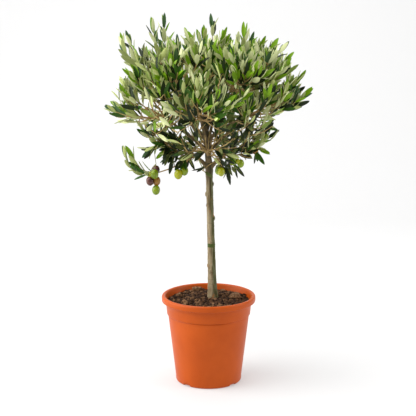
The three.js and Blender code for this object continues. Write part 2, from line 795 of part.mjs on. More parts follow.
function planShoots() {
  const at = (place) => new THREE.Vector3(...place);
  const planned = [
    ...HANGING.map(({ reach, bend }) => ({ reach: at(reach), bend: at(bend) })),
    ...[...PEAKS.map(at), ...SHELLS.flatMap(shellReaches)].map((reach) => ({ reach })),
  ];
  return planned.map((shoot) => ({ ...shoot, mass: massAt(inset(shoot.reach, shoot.bend ?? HEART)) }));
}

const shoots = planShoots();

function massBody(mass) {
  const stem = stretch(mass.line, mass.end + GAP / mass.length, 1);
  const stemRadius = (s) => boughRadius(mass, THREE.MathUtils.lerp(mass.end, 1, s));
  const twigs = [];
  for (const shoot of shoots.filter((one) => one.mass === mass)) {
    const line = shootLine(mass, shoot);
    if (line) twigs.push(line);
  }
  const taken = twigs.map((line) => {
    const spots = line.getSpacedPoints(TWIG_PLACES);
    return { spots, middle: spots[TWIG_PLACES / 2], root: spots[0] };
  });
  const leaves = twigs.flatMap((line, i) => leavesOn(mass, line, taken, seeded(LEAF_SEED + i)));
  const twigRadius = (s) => THREE.MathUtils.lerp(TWIG_RADIUS, TWIG_TIP_RADIUS, s);
  return fused([
    limb(stem, stemRadius, STEM_SIDES, STEM_STEPS),
    ...twigs.map((line) => limb(line, twigRadius, TWIG_SIDES, TWIG_STEPS)),
    ...leaves.map(leafGeometry),
    ...BUNCHES.filter((bunch) => massAt(new THREE.Vector3(bunch.x, bunch.y, bunch.z)) === mass).flatMap(
      (bunch) => oliveBunch(bunch, mass, twigs),
    ),
  ]);
}

// ---------------------------------------------------------------- assembly

const FINISH = {
  pot: new THREE.MeshStandardMaterial({ color: 0xc9602f, roughness: 0.55, metalness: 0 }),
  soil: new THREE.MeshStandardMaterial({ color: 0x4a3628, roughness: 1, metalness: 0 }),
  bark: new THREE.MeshStandardMaterial({ color: 0x857a63, roughness: 0.9, metalness: 0 }),
  foliage: new THREE.MeshStandardMaterial({ color: 0x71844f, roughness: 0.6, metalness: 0 }),
};

const tree = new THREE.Group();

function add(name, body, material) {
  const mesh = new THREE.Mesh(geometryOf(body), material);
  mesh.name = name;
  tree.add(mesh);
}

add("pot", potBody(), FINISH.pot);
add("soil", soilBody(), FINISH.soil);
add("trunk", trunkBody(), FINISH.bark);
const trunkRoom = solid(trunkGeometry(GAP));
for (const bough of boughs) {
  add("bough_" + bough.name, boughBody(bough, trunkRoom), FINISH.bark);
  add("foliage_" + bough.name, massBody(bough), FINISH.foliage);
}

export default tree;
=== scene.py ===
from collections import namedtuple
from math import acos, cos, degrees, hypot, pi, radians, sin, sqrt

import bpy
import numpy as np
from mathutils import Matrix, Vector


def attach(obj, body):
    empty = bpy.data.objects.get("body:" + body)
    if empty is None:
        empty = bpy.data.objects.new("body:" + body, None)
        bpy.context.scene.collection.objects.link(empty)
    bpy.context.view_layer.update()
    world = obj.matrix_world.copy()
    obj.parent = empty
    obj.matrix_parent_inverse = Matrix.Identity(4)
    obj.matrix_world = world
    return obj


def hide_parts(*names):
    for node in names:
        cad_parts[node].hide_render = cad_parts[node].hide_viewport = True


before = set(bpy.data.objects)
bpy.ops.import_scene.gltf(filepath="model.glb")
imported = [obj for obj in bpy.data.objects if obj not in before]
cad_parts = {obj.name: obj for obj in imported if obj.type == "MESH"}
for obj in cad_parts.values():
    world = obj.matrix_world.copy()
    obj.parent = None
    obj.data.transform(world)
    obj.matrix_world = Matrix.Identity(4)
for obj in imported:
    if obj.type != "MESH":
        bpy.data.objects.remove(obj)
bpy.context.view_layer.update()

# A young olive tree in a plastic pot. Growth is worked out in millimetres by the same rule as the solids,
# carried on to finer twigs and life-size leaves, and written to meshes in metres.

MM = 0.001
UP = np.array([0.0, 0.0, 1.0])
GOLDEN_ANGLE = pi * (3 - sqrt(5))
GOLDEN_SHARE = 0.618  # of a round, from one tone or length to the next
TURN = 6.28  # radians, about a full turn

# ---- sizes, in millimetres

# Pot
POT_HEIGHT = 197
RIM_RADIUS = 105
RIM_DEPTH = 13.5
RIM_ROUND = 4.2
MOUTH_RADIUS = 96
BAND_TOP_RADIUS = 96.5
BAND_LOW_RADIUS = 93
STEP_HEIGHT = 154
BODY_TOP_RADIUS = 91
FOOT_RADIUS = 74
FOOT_ROUND = 5
WALL = 2.4
NOTCHES = 4
NOTCH_WIDTH = 20
NOTCH_HEIGHT = 4.4
NOTCH_TURN = 48  # degrees from +X to the first notch
NOTCH_DEPTH = 13
POT_FLOOR = 3
POT_SEGMENTS = 192

# Soil
SOIL_LEVEL = 184
SOIL_CROWN = 4
SOIL_RADIUS = 91.5
SOIL_BOTTOM = 170
SOIL_RINGS, SOIL_SEGMENTS = 46, 120
MOUND = (14, 75)  # distances from the trunk between which the ground falls
CRUMBS = 1700
CRUMB_SIZE, CRUMB_VARIES = 1.3, 4.2
BARE_ROUND_TRUNK = 15
# Larger clods: place and size
CLODS = [(-28, 68, 9), (60, 2, 12), (-52, -38, 7), (26, -60, 6), (-68, 20, 7), (34, 62, 6)]

# Trunk, as [height, lean in X, radius]
TRUNK_BACK = 10
TRUNK_FOOT = 188.3
TRUNK_TIP = 604
TRUNK = np.array([
    [TRUNK_FOOT, 9, 12.6],
    [200, 8.8, 11.2],
    [222, 8, 9.8],
    [300, 6, 8.6],
    [390, 3.4, 7.7],
    [456, 1.6, 7.6],
    [476, 1.2, 8.6],
    [500, 0, 7.2],
    [550, -4, 6],
    [TRUNK_TIP, -8, 4.4],
])

CLEAR_TOP = 5  # the row of TRUNK where its clear length ends
TRUNK_SIDES, TRUNK_RINGS = 40, 330
BARK_WAVES = 26
BARK_RELIEF = 0.024  # share of the trunk's radius
RING_WIDTH = 1.6
FLARE_FADES = 7  # height over which the flare of the foot, or of a bough's collar, fades
COLLAR = 0.55  # share that a bough swells by where it leaves the trunk
# Pruning scars: height, direction in degrees, size and depth
SCARS = [
    (250, -110, 3.6, 1.6), (262, 200, 3, 1.4), (315, -80, 4.0, 1.8), (335, 60, 3.4, 1.4), (370, -8, 3.6, 2.6),
    (398, 150, 3, 1.4), (424, 188, 3.6, 2.6), (447, -12, 3.4, 2.2), (452, 90, 3, 1.2),
]
# Old nodes right round the bark: height, and how far each stands out
RINGS = [
    (214, 0.5), (231, 0.35), (250, 0.6), (274, 0.4), (291, 0.5), (309, 0.7), (333, 0.35), (352, 0.45),
    (370, 0.6), (391, 0.35), (409, 0.4), (424, 0.5), (436, 0.3), (447, 0.55),
]
MOSS_BAND = (303, 312)  # heights between which the bark is green with moss
# The tan side is the lit one, painted lighter, and the green side the shaded one, painted darker.
EDGE_WAVERS = 0.008  # metres that the edge between its tan and green sides wanders
LEADER_DARKENS = (0.44, 0.5)  # metres up, between which it darkens

# Crown
HEART = np.array([2.0, 0.0, 545.0])
BELLY_HEIGHT = 640
BELLY_RADIUS = 207
DOME_RISE = 145
DOME_POWER = 2.6
UNDER_DROP = 190
UNDER_POWER = 1.3

# Where the crown stays open, in tunnels that fall a little from front to back: x, z in the middle, and radius
TUNNEL_FALL = 0.19
HOLLOWS = np.array([
    [-174, 570, 15], [-140, 541, 11], [199, 578, 32], [158, 592, 16], [176, 536, 24],
    [146, 547, 12], [-137, 631, 12], [-221, 584, 16], [-208, 661, 8],
])

# Boughs
TIERS = [
    dict(tier="low", pairs=2, start=480, rise=16, ring=92, height=536, turn=176, radius=5.4, arch=18),
    dict(tier="middle", pairs=3, start=517, rise=13, ring=142, height=622, turn=20, radius=4.8, arch=6),
    dict(tier="upper", pairs=2, start=566, rise=16, ring=116, height=706, turn=50, radius=4, arch=-4),
]
TOP = dict(tier="top", height=738, radius=4.1)
BOUGH_BEND = 0.42  # share of its spread where a bough bends
BOUGH_INSIDE = 2  # a bough ends this far inside the space of its mass
SHORTEST_BOUGH = 0.3
STEM_TIP_RADIUS = 1.3
CELL_MARGIN = 0.5  # wood keeps this far inside its own space
LEAF_ROOM = -8  # leaves may pass this far out of it
LIMB_MARGIN = 1.2  # and keep this far off the limbs

# Shoots
SHELLS = [
    dict(count=62, share=1, lowest=120),
    dict(count=16, share=0.82, lowest=86),
]
SHOOT_START = 9
SHOOT_PITCH = 6.5
SHOOT_ANGLE = 38  # degrees that a shoot best leaves its stem at
SHORTEST_SHOOT = 14
SHOOT_BEND = 0.55  # share of its length where a shoot bends
RISING_SAG = -0.26  # the bend lies this share of its length off the straight line
FALLING_SAG = 0.1
SAG_EASES = (1, 0.5, 0, -0.5)  # tried in turn
LIFT_HEIGHTS, LIFTS = (500, 560, 620, 680), (-0.25, 0.0, 0.42, 0.7)  # how far growth turns up

# Shoots with a bend of their own: where the tip leaf reaches, and where the shoot bends
LED = [
    ([-188, -26, 546], [-164, -14, 434]),
    ([-84, -34, 474], [-74, -34, 536]),
    ([-144, -26, 508], [-108, -26, 546]),
    ([43, -20, 458], [40, -20, 512]),
    ([-100, -34, 486], [-80, -34, 530]),
    ([-122, -20, 813], [-108, -20, 715]),
    ([-96, 10, 821], [-97, 6, 720]),
    ([-189, -25, 780], [-166, -52, 700]),
    ([-177, 16, 784], [-160, 20, 716]),
    ([7, -15, 820], [9, -8, 735]),
    ([75, -30, 803], [74, -24, 720]),
    ([156, 25, 561], [112, 20, 584]),
    ([40, -10, 791], [19, -10, 746]),
    ([-12, 10, 795], [-8, 6, 730]),
]

# Where the tip leaves of the other longest shoots reach
PEAKS = [
    [-67, -60, 778], [-54, 40, 789], [100, 35, 780], [125, 20, 772], [152, 15, 767],
    [170, -45, 762], [184, -10, 738], [193, -20, 712], [213, 20, 698], [228, -12, 660], [219, -20, 634],
    [186, -50, 620], [133, -40, 523], [98, -30, 520], [79, 10, 462], [44, -50, 478],
    [-190, 10, 735], [-184, -50, 705], [-180, 40, 664], [-226, -20, 622], [-214, -10, 632], [-157, -10, 572],
    [-70, -60, 490], [-30, 10, 477], [-25, -10, 786], [30, 130, 782], [-90, 150, 765],
    [140, 140, 725], [-10, -150, 770], [85, -160, 710], [-110, -160, 700], [-40, 222, 660],
    [110, 180, 620], [30, -218, 640], [-130, 140, 560], [50, 140, 520], [-30, -140, 530],
]

# Finer growth
LEAF_LENGTH = 43
LEAF_WIDTH = 11
LEAF_THICKNESS = 0.55
LEAF_SHORT = 0.9  # a shoot stops this share of a leaf short of its reach
LEAF_PITCH = 14
TIP_CURL = 0.3  # share of its curl that the last leaf of a twig keeps
BARE_BELOW = 625  # height under which twigs bear fewer leaves
BARE_SHARE = 0.38  # of the leaves of side twigs there that are missing
LEADER_SHOWS = (488, 584)  # heights between which no leaf hides the leader from the front
LEADER_ROOM = 11
SIDE_PITCH = 22
SIDE_LENGTH = 66
SIDE_SPREAD = 36
SIDE_REACH = 0.95  # share of the crown that side twigs keep to
SIDE_FROM, SIDE_TO = 0.2, 0.9  # shares of a shoot that bear side twigs
LOW_PEAK = 650  # shoots that reach below this height keep to their own peak
RISING_LIFT = 0.6
HANGING_BARE = 0.5  # share without leaves of a drooping shoot
LOW_BARE = 0.42  # and of other low ones
FILL_SPACING = 28
FILL_TRIES = 5
FILL_CROWN = 0.86  # share of the crown that is filled
SHOOT_RADIUS = 2.0
TWIG_RADIUS = 1.4
TWIG_TIP_RADIUS = 0.6


# Leaf colours, from 0 to 255
UPPER_TONES = {
    "leaf_top_dark": (28, 42, 11),
    "leaf_top_green": (46, 84, 6),
    "leaf_top_blue": (64, 94, 54),
    "leaf_top_sage": (116, 138, 56),
    "leaf_top_young": (116, 156, 20),
}
UNDER_TONES = {
    # painted shade: a darker underside, dealt only to leaves in the crown's shade
    "leaf_under_shaded": (84, 95, 44),
    "leaf_under_grey": (138, 148, 88),
    "leaf_under_sage": (186, 196, 124),
    "leaf_under_pale": (206, 212, 158),
}
TOP_DARK, TOP_GREEN, TOP_BLUE, TOP_SAGE, TOP_YOUNG = range(5)
UNDER_SHADED, UNDER_GREY, UNDER_SAGE, UNDER_PALE = range(4)

# Olives: each bunch as colour, middle and share of full size
OLIVE_WIDTH = 17.5
OLIVE_LENGTH = 21.5
STALK_RADIUS = 0.7
FRUIT_STALK_RADIUS = 0.55
STALK_LOWEST = 16  # below a bunch's neck, where its stalk may leave a twig
BUNCHES = [
    [
        ("purple", (-114, -28, 484), 0.92), ("green", (-117, -35, 476), 1), ("yellow", (-125, -24, 471), 0.9),
        ("purple", (-127.5, -29, 459.5), 0.95), ("brown", (-113.5, -22, 458.5), 1),
        ("green", (-114.5, -27, 439.5), 1),
    ],
    [("yellow", (-65.5, -34, 475.5), 1.05), ("green", (-52.5, -30, 482), 0.95)],
    [("green", (21, -44, 485), 0.85), ("yellow", (27, -52, 483.5), 0.9)],
    [("green", (52, -44, 506.5), 0.95), ("green", (69, -42, 500), 0.85)],
    [("yellow", (62.5, -46, 505.5), 0.55)],
    [("green", (88.5, -40, 538), 0.8), ("brown", (100, -36, 528.5), 0.85)],
    [("green", (124, -20, 557), 0.6)],
    [("green", (-42, 95, 500), 1), ("purple", (-58, 93, 490), 0.95)],
    [("yellow", (52, 100, 505), 1)],
]
OLIVE_TONES = {
    "green": ((98, 120, 0), (134, 156, 0)),
    "yellow": ((136, 148, 0), (166, 168, 14)),
    "purple": ((60, 26, 30), (100, 56, 36)),
    "brown": ((116, 72, 14), (154, 112, 30)),
}

FLOOR_GLOW = 0.31

# Joined pieces of the crown, and the tiers of masses that each one holds
CROWN_PIECES = [("low", ["low"]), ("middle", ["middle"]), ("upper", ["upper", "top"])]


# ---- shared helpers

def seeded(seed):
    """A repeatable run of numbers from 0 to 1, the same as the solids use."""
    state = (seed * 7919 + 12345) % 2147483647

    def step():
        nonlocal state
        state = state * 48271 % 2147483647
        return state / 2147483647

    step()
    step()
    return step


def unit(v):
    return v / np.linalg.norm(v, axis=-1, keepdims=True)


def turned(v, axis, angle):
    """v turned round a unit axis."""
    c, s = cos(angle), sin(angle)
    return v * c + np.cross(axis, v) * s + axis * np.dot(axis, v) * (1 - c)


def smoothstep(x, low, high):
    t = np.clip((x - low) / (high - low), 0, 1)
    return t * t * (3 - 2 * t)


def linear(colour):
    """A colour given from 0 to 255 as the eye sees it, in the linear values that shaders take."""
    shares = [c / 255 for c in colour]
    return (*[c / 12.92 if c <= 0.04045 else ((c + 0.055) / 1.055) ** 2.4 for c in shares], 1)


def turns(count):
    """Angles evenly spread round a circle."""
    return np.arange(count) * 2 * pi / count


def ring_pairs(sides):
    """Each place of a ring with the next one."""
    return [(i, (i + 1) % sides) for i in range(sides)]


def wall_faces(rings, sides):
    """Faces between rings of places that follow one another."""
    return [(a + i, a + j, a + sides + j, a + sides + i)
            for a in range(0, (rings - 1) * sides, sides) for i, j in ring_pairs(sides)]


def ball_faces(rings, sides):
    """Faces of a closed form whose top and bottom places come first and its rings after them."""
    faces = []
    last = 2 + (rings - 1) * sides
    for i, j in ring_pairs(sides):
        faces += [(0, 2 + i, 2 + j), (1, last + j, last + i)]
        for a in range(2, last, sides):
            faces.append((a + i, a + sides + i, a + sides + j, a + j))
    return faces


def placed(name, data):
    thing = bpy.data.objects.new(name, data)
    bpy.context.scene.collection.objects.link(thing)
    return thing


def mesh_piece(name, places, faces, materials, slots=None, smooth=True):
    """A mesh object from places in millimetres, riding on the part's one body."""
    mesh = bpy.data.meshes.new(name)
    mesh.from_pydata((np.asarray(places) * MM).tolist(), [], faces)
    for material in materials:
        mesh.materials.append(material)
    if slots is not None:
        mesh.polygons.foreach_set("material_index", np.asarray(slots, dtype=np.int32))
    mesh.polygons.foreach_set("use_smooth", np.full(len(mesh.polygons), smooth))
    mesh.update()
    piece = placed(name, mesh)
    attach(piece, "root")
    return piece


class Pile:
    """Small shapes gathered into one mesh."""

    def __init__(self):
        self.places, self.faces, self.slots, self.count = [], [], [], 0

    def add(self, places, faces, slot=0):
        self.places.append(places)
        self.faces.extend([tuple(i + self.count for i in face) for face in faces])
        self.slots.extend([slot] * len(faces))
        self.count += len(places)

    def piece(self, name, materials, smooth=True):
        return mesh_piece(name, np.concatenate(self.places), self.faces, materials, self.slots, smooth)


def tube(points, radii, sides):
    """A closed tapering tube through points, with a small point at each end."""
    points, radii = np.asarray(points, float), np.asarray(radii, float)
    tangents = unit(np.gradient(points, axis=0))
    across = np.cross(tangents[0], UP if abs(tangents[0][2]) < 0.9 else np.array([1.0, 0, 0]))
    rings, angles = [], turns(sides)
    for point, tangent, radius in zip(points, tangents, radii):
        across = unit(across - tangent * np.dot(across, tangent))
        other = np.cross(tangent, across)
        rings.append(point + radius * (np.outer(np.cos(angles), across) + np.outer(np.sin(angles), other)))
    ends = [points[0] - tangents[0] * radii[0] * 0.4, points[-1] + tangents[-1] * radii[-1] * 0.8]
    places = np.concatenate([*rings, ends])
    faces = wall_faces(len(points), sides)
    first, last, top = len(places) - 2, len(places) - 1, (len(points) - 1) * sides
    for i, j in ring_pairs(sides):
        faces += [(first, j, i), (top + i, top + j, last)]
    return places, faces


def revolved(outline, segments):
    """A closed surface turned round Z from an outline that starts and ends on the axis, at its bottom."""
    outline = np.asarray(outline, float)
    places = [[0, 0, outline[0][1]], [0, 0, outline[-1][1]]]
    for r, z in outline[1:-1]:
        places.extend([r * cos(a), r * sin(a), z] for a in turns(segments))
    faces = ball_faces(len(outline) - 2, segments)
    return np.array(places), [(face[0], *face[:0:-1]) for face in faces]


def arc(r, z, radius, start, end, steps):
    angles = np.radians(np.linspace(start, end, steps + 1))
    return [[r + radius * cos(a), z + radius * sin(a)] for a in angles]


# ---- materials

# Colours go from 0 to 255 as the eye sees them. Scales of noise are in cycles a metre, reliefs in metres.

def shader(name, colour, roughness, specular):
    material = bpy.data.materials.new(name)
    material.use_nodes = True
    tree = material.node_tree
    surface = tree.nodes["Principled BSDF"]
    put(surface, {"Base Color": linear(colour), "Roughness": roughness, "Specular IOR Level": specular})
    return material, tree, surface


def put(node, values):
    for name, value in values.items():
        node.inputs[name].default_value = value


def added(tree, kind, values=None, **sources):
    """A new shader node with some of its inputs set and others fed."""
    node = tree.nodes.new("ShaderNode" + kind)
    put(node, values or {})
    for name, source in sources.items():
        tree.links.new(source, node.inputs[name])
    return node


def noise(tree, scale, detail=4, roughness=0.6, stretch=None):
    source = added(tree, "TexCoord").outputs["Object"]
    if stretch:
        source = added(tree, "Mapping", {"Scale": stretch}, Vector=source).outputs["Vector"]
    values = {"Scale": scale, "Detail": detail, "Roughness": roughness}
    return added(tree, "TexNoise", values, Vector=source).outputs["Fac"]


def ramp(tree, factor, *stops):
    """Colours, or levels of grey, over a factor."""
    node = added(tree, "ValToRGB", Fac=factor)
    elements = node.color_ramp.elements
    while len(elements) < len(stops):
        elements.new(0.5)
    for element, (position, tone) in zip(elements, stops):
        element.position = position
        element.color = linear(tone) if isinstance(tone, tuple) else (tone, tone, tone, 1)
    return node.outputs["Color"]


def mixed(tree, factor, low, high):
    """One colour over to another by a factor; each is a colour or the output of a node."""
    node = added(tree, "Mix")
    node.data_type = "RGBA"
    tree.links.new(factor, node.inputs["Factor"])
    for socket, colour in ((node.inputs[6], low), (node.inputs[7], high)):
        if isinstance(colour, tuple):
            socket.default_value = linear(colour)
        else:
            tree.links.new(colour, socket)
    return node.outputs[2]


def rising(tree, value, low, high):
    """0 where a value is below one bound, and 1 above another."""
    return added(tree, "MapRange", {"From Min": low, "From Max": high}, Value=value).outputs["Result"]


def weighted(tree, value, weight, other):
    """One value times a weight, plus another value."""
    node = added(tree, "Math")
    node.operation = "MULTIPLY_ADD"
    tree.links.new(value, node.inputs[0])
    node.inputs[1].default_value = weight
    tree.links.new(other, node.inputs[2])
    return node.outputs[0]


def bump(tree, surface, height, strength, distance):
    node = added(tree, "Bump", {"Strength": strength, "Distance": distance}, Height=height)
    tree.links.new(node.outputs["Normal"], surface.inputs["Normal"])


def mottled(name, colour, finish, grain, stops, relief_grain, relief):
    """A skin whose colour wanders between stops, with a fine relief."""
    material, tree, surface = shader(name, colour, *finish)
    tree.links.new(ramp(tree, noise(tree, *grain), *stops), surface.inputs["Base Color"])
    bump(tree, surface, noise(tree, *relief_grain), *relief)
    return material


def pot_plastic():
    stops = (0.3, (176, 72, 6)), (0.7, (189, 81, 12))
    return mottled("pot_plastic", (182, 76, 8), (0.4, 0.2), (14, 4), stops, (900, 2), (0.12, 0.0004))


def soil_earth(name, dark, middle, light):
    stops = (0.34, dark), (0.5, middle), (0.66, light)
    return mottled(name, middle, (0.95, 0.15), (220, 5, 0.7), stops, (900, 4), (0.6, 0.001))


def twig_skin(name, dark, light):
    stops = (0.35, dark), (0.65, light)
    return mottled(name, dark, (0.8, 0.25), (60, 3), stops, (500, 3, 0.6), (0.3, 0.0004))


def olive_skin(name, dark, light):
    stops = (0.35, dark), (0.65, light)
    return mottled(name, dark, (0.22, 0.5), (55, 3, 0.5), stops, (900, 2), (0.06, 0.0003))


def leaf_side(name, colour, roughness, specular):
    material, tree, surface = shader(name, colour, roughness, specular)
    bump(tree, surface, noise(tree, 420, 3, 0.6), 0.18, 0.0005)
    return material


def lit_left_shaded_right(tree, parts):
    """0 on the trunk's lit left side and 1 on its shaded right side, with an uneven edge between, along its
    lean: the mask of its painted light and shade.
    """
    (low, low_x), (high, high_x) = TRUNK[0][:2] * MM, TRUNK[CLEAR_TOP][:2] * MM
    lean = (low_x - high_x) / (high - low)
    upright = weighted(tree, parts["Z"], lean, parts["X"])
    edge = weighted(tree, noise(tree, 60, 3, 0.6, (1, 1, 0.35)), EDGE_WAVERS, upright)
    middle = low_x + lean * low + EDGE_WAVERS / 2
    return rising(tree, edge, middle - 0.001, middle + 0.003)


def bark_skin():
    """Bark with upright streaks and darker up the leader, painted lighter and tan on its left where light
    falls, and darker and green on its right, partly its own green and partly painted shade.
    """
    material, tree, surface = shader("bark_skin", (112, 102, 74), 0.85, 0.2)
    parts = added(tree, "SeparateXYZ", Vector=added(tree, "TexCoord").outputs["Object"]).outputs
    streak = noise(tree, 150, 5, 0.65, (1, 1, 0.07))
    # Painted light and shade: the tan tones for the lit left side are lighter than the green tones for the
    # shaded right, whose green is partly the bark's own.
    tan, green = (
        ramp(tree, streak, *zip((0.36, 0.45, 0.55, 0.64), tones)) for tones in (
            ((81, 66, 42), (125, 110, 81), (162, 147, 118), (109, 88, 57)),
            ((50, 48, 23), (81, 79, 44), (111, 113, 84), (65, 71, 36)),
        )
    )
    tone = mixed(tree, lit_left_shaded_right(tree, parts), tan, green)
    bands = ramp(tree, noise(tree, 75, 3, 0.6, (0.1, 0.1, 2.2)), (0.56, 0), (0.64, 0.5))
    tone = mixed(tree, bands, tone, (84, 72, 46))
    spots = ramp(tree, noise(tree, 130, 3, 0.5, (1, 1, 0.5)), (0.62, 0), (0.68, 0.8))
    tone = mixed(tree, spots, tone, (150, 104, 58))
    tone = mixed(tree, rising(tree, parts["Z"], *LEADER_DARKENS), tone, (74, 68, 50))
    tree.links.new(tone, surface.inputs["Base Color"])
    bump(tree, surface, noise(tree, 420, 5, 0.7, (1, 1, 0.3)), 0.8, 0.0012)
    return material


# ---- pot and soil

def inner_radius(z):
    share = (z - FOOT_ROUND) / (STEP_HEIGHT - FOOT_ROUND)
    return min(FOOT_RADIUS + (BODY_TOP_RADIUS - FOOT_RADIUS) * share - WALL, MOUTH_RADIUS - 1.2)


def make_pot():
    rim_low = POT_HEIGHT - RIM_DEPTH
    outline = [
        [0, 1.2],
        [FOOT_RADIUS - 16, 1.2],
        [FOOT_RADIUS - 14.5, 0],
        [FOOT_RADIUS - FOOT_ROUND - 1, 0],
        *arc(FOOT_RADIUS - FOOT_ROUND, FOOT_ROUND, FOOT_ROUND, -90, -6, 6),
        [FOOT_RADIUS + 0.2, 12],
        [FOOT_RADIUS + 8.2, 80],
        [BODY_TOP_RADIUS - 0.3, STEP_HEIGHT - 3],
        [BODY_TOP_RADIUS - 0.5, STEP_HEIGHT - 1.6],
        *arc(BODY_TOP_RADIUS - 0.5, STEP_HEIGHT - 0.3, 0.9, 180, 90, 3),
        *arc(BAND_LOW_RADIUS - 0.5, STEP_HEIGHT + 1.5, 0.9, -90, 0, 3),
        [(BAND_LOW_RADIUS + BAND_TOP_RADIUS) / 2, (STEP_HEIGHT + rim_low) / 2],
        [BAND_TOP_RADIUS - 0.3, rim_low - 2],
        *arc(BAND_TOP_RADIUS + 1.5, rim_low - 1.2, 1.2, 180, 100, 3),
        *arc(RIM_RADIUS - 2.2, rim_low + 2.2, 2.2, -90, 0, 4),
        *arc(RIM_RADIUS - RIM_ROUND, POT_HEIGHT - RIM_ROUND, RIM_ROUND, 0, 90, 6),
        *arc(MOUTH_RADIUS + RIM_ROUND, POT_HEIGHT - RIM_ROUND, RIM_ROUND, 95, 180, 6),
        [inner_radius(rim_low) + 0.5, rim_low],
        [inner_radius(STEP_HEIGHT), STEP_HEIGHT],
        [inner_radius(POT_FLOOR + 2), POT_FLOOR + 2],
        [inner_radius(POT_FLOOR + 2) - 3, POT_FLOOR],
        [0, POT_FLOOR],
    ]
    places, faces = revolved(outline, POT_SEGMENTS)
    radius = np.hypot(places[:, 0], places[:, 1])
    around = np.degrees(np.arctan2(places[:, 1], places[:, 0]))
    half = degrees(NOTCH_WIDTH / 2 / FOOT_RADIUS)
    for i in range(NOTCHES):
        off = np.abs((around - NOTCH_TURN - i * 360 / NOTCHES + 180) % 360 - 180)
        notch = (off < half) & (radius > FOOT_RADIUS - NOTCH_DEPTH) & (places[:, 2] < NOTCH_HEIGHT)
        places[notch, 2] = NOTCH_HEIGHT * np.clip((half - off[notch]) / 1.5 + 0.3, 0, 1)
    pot = mesh_piece("pot_shell", places, faces, [pot_plastic()])
    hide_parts("pot")


def ground_height(x, y, lumps):
    middle = np.hypot(x - TRUNK[0][1], y - TRUNK_BACK)
    crown = SOIL_CROWN * (1 - smoothstep(middle, *MOUND))
    return SOIL_LEVEL + crown + lumps


def lump_field(random, waves, size, low, high):
    """A sum of random waves: an uneven field over x and y with a zero mean."""
    terms = []
    for _ in range(waves):
        around = random() * 2 * pi
        length = low + (high - low) * random()
        terms.append((cos(around) / length, sin(around) / length, random() * TURN))

    def field(x, y):
        return size * sum(np.sin(x * a * TURN + y * b * TURN + c) for a, b, c in terms) / sqrt(waves)
    return field


def make_soil():
    random = seeded(41)
    pile = Pile()
    coarse = lump_field(random, 9, 0.7, 16, 40)
    fine = lump_field(random, 14, 0.7, 4, 10)
    rings, segments = SOIL_RINGS, SOIL_SEGMENTS
    radii = SOIL_RADIUS * np.linspace(0, 1, rings + 1)[1:] ** 0.85
    angles = turns(segments)
    x = np.outer(radii, np.cos(angles)).ravel()
    y = np.outer(radii, np.sin(angles)).ravel()
    z = ground_height(x, y, coarse(x, y) + fine(x, y))
    places = [np.stack([x, y, z], 1)]
    low_edge = np.full(segments, SOIL_BOTTOM)
    places.append(np.stack([SOIL_RADIUS * np.cos(angles), SOIL_RADIUS * np.sin(angles), low_edge], 1))
    places.append([[0, 0, float(ground_height(0.0, 0.0, 0.0))], [0, 0, SOIL_BOTTOM]])
    faces = []
    top, low = rings * segments + segments, rings * segments + segments + 1
    for i, j in ring_pairs(segments):
        faces.append((top, i, j))
        for k in range(rings):
            a = k * segments
            faces.append((a + i, a + segments + i, a + segments + j, a + j))
        faces.append((rings * segments + i, low, rings * segments + j))
    pile.add(np.concatenate(places), faces)
    for _ in range(CRUMBS):
        size = CRUMB_SIZE + CRUMB_VARIES * random() ** 3
        around, out = random() * 2 * pi, (SOIL_RADIUS - 5) * sqrt(random())
        cx, cy = out * cos(around), out * sin(around)
        if hypot(cx - TRUNK[0][1], cy - TRUNK_BACK) < BARE_ROUND_TRUNK:
            continue
        slot = int(4 * random()) % 3
        add_clod(pile, random, cx, cy, float(ground_height(cx, cy, coarse(cx, cy))), size, slot)
    for cx, cy, size in CLODS:
        add_clod(pile, random, cx, cy, SOIL_LEVEL + 0.4 * size, size * 1.1, 2)
        for _ in range(9):
            around = random() * 2 * pi
            add_clod(pile, random, cx + size * 0.8 * cos(around), cy + size * 0.7 * sin(around),
                     SOIL_LEVEL + 1 + size * 0.7 * random(), size * (0.28 + 0.2 * random()), 2)
    soil = pile.piece("soil_bed", [
        soil_earth("soil_dark", (24, 15, 10), (48, 31, 20), (78, 53, 34)),
        soil_earth("soil_brown", (38, 25, 16), (74, 50, 32), (109, 79, 53)),
        soil_earth("soil_dry", (59, 41, 26), (107, 77, 52), (145, 111, 81)),
    ], smooth=False)
    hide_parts("soil")


def add_clod(pile, random, x, y, z, size, slot):
    """A rough lump: a small round form with every point pushed in or out."""
    rows, sides = 4, 6
    places = [[0, 0, 1], [0, 0, -1]]
    for row in range(1, rows):
        tilt = pi * row / rows
        for i in range(sides):
            around = 2 * pi * (i + 0.5 * (row % 2)) / sides
            flat = sin(tilt)
            places.append([flat * cos(around), flat * sin(around), cos(tilt)])
    places = np.array(places)
    places *= np.array([[0.75 + 0.5 * random()] for _ in places])
    places *= size * np.array([1.0 + 0.5 * random(), 0.9, 0.7])
    turn = random() * TURN
    c, s = cos(turn), sin(turn)
    places = places @ np.array([[c, s, 0], [-s, c, 0], [0, 0, 1]]) + [x, y, z + 0.25 * size]
    pile.add(places, ball_faces(rows - 1, sides), slot)


# ---- the plan of the tree

class Line:
    """A bent line from start to end, read by its length."""

    def __init__(self, start, bend, end, steps=48):
        t = np.linspace(0, 1, steps + 1)[:, None]
        self.places = (1 - t) ** 2 * start + 2 * t * (1 - t) * bend + t ** 2 * end
        along = np.concatenate([[0], np.cumsum(np.linalg.norm(np.diff(self.places, axis=0), axis=1))])
        self.length = along[-1]
        self.shares = along / self.length

    def at(self, share):
        return np.array([np.interp(share, self.shares, self.places[:, k]) for k in range(3)])

    def tangent(self, share):
        return unit(self.at(min(share + 0.01, 1)) - self.at(max(share - 0.01, 0)))

    def spots(self, count, first=0.0, last=1.0):
        shares = np.linspace(first, last, count)
        return np.stack([np.interp(shares, self.shares, self.places[:, k]) for k in range(3)], 1)


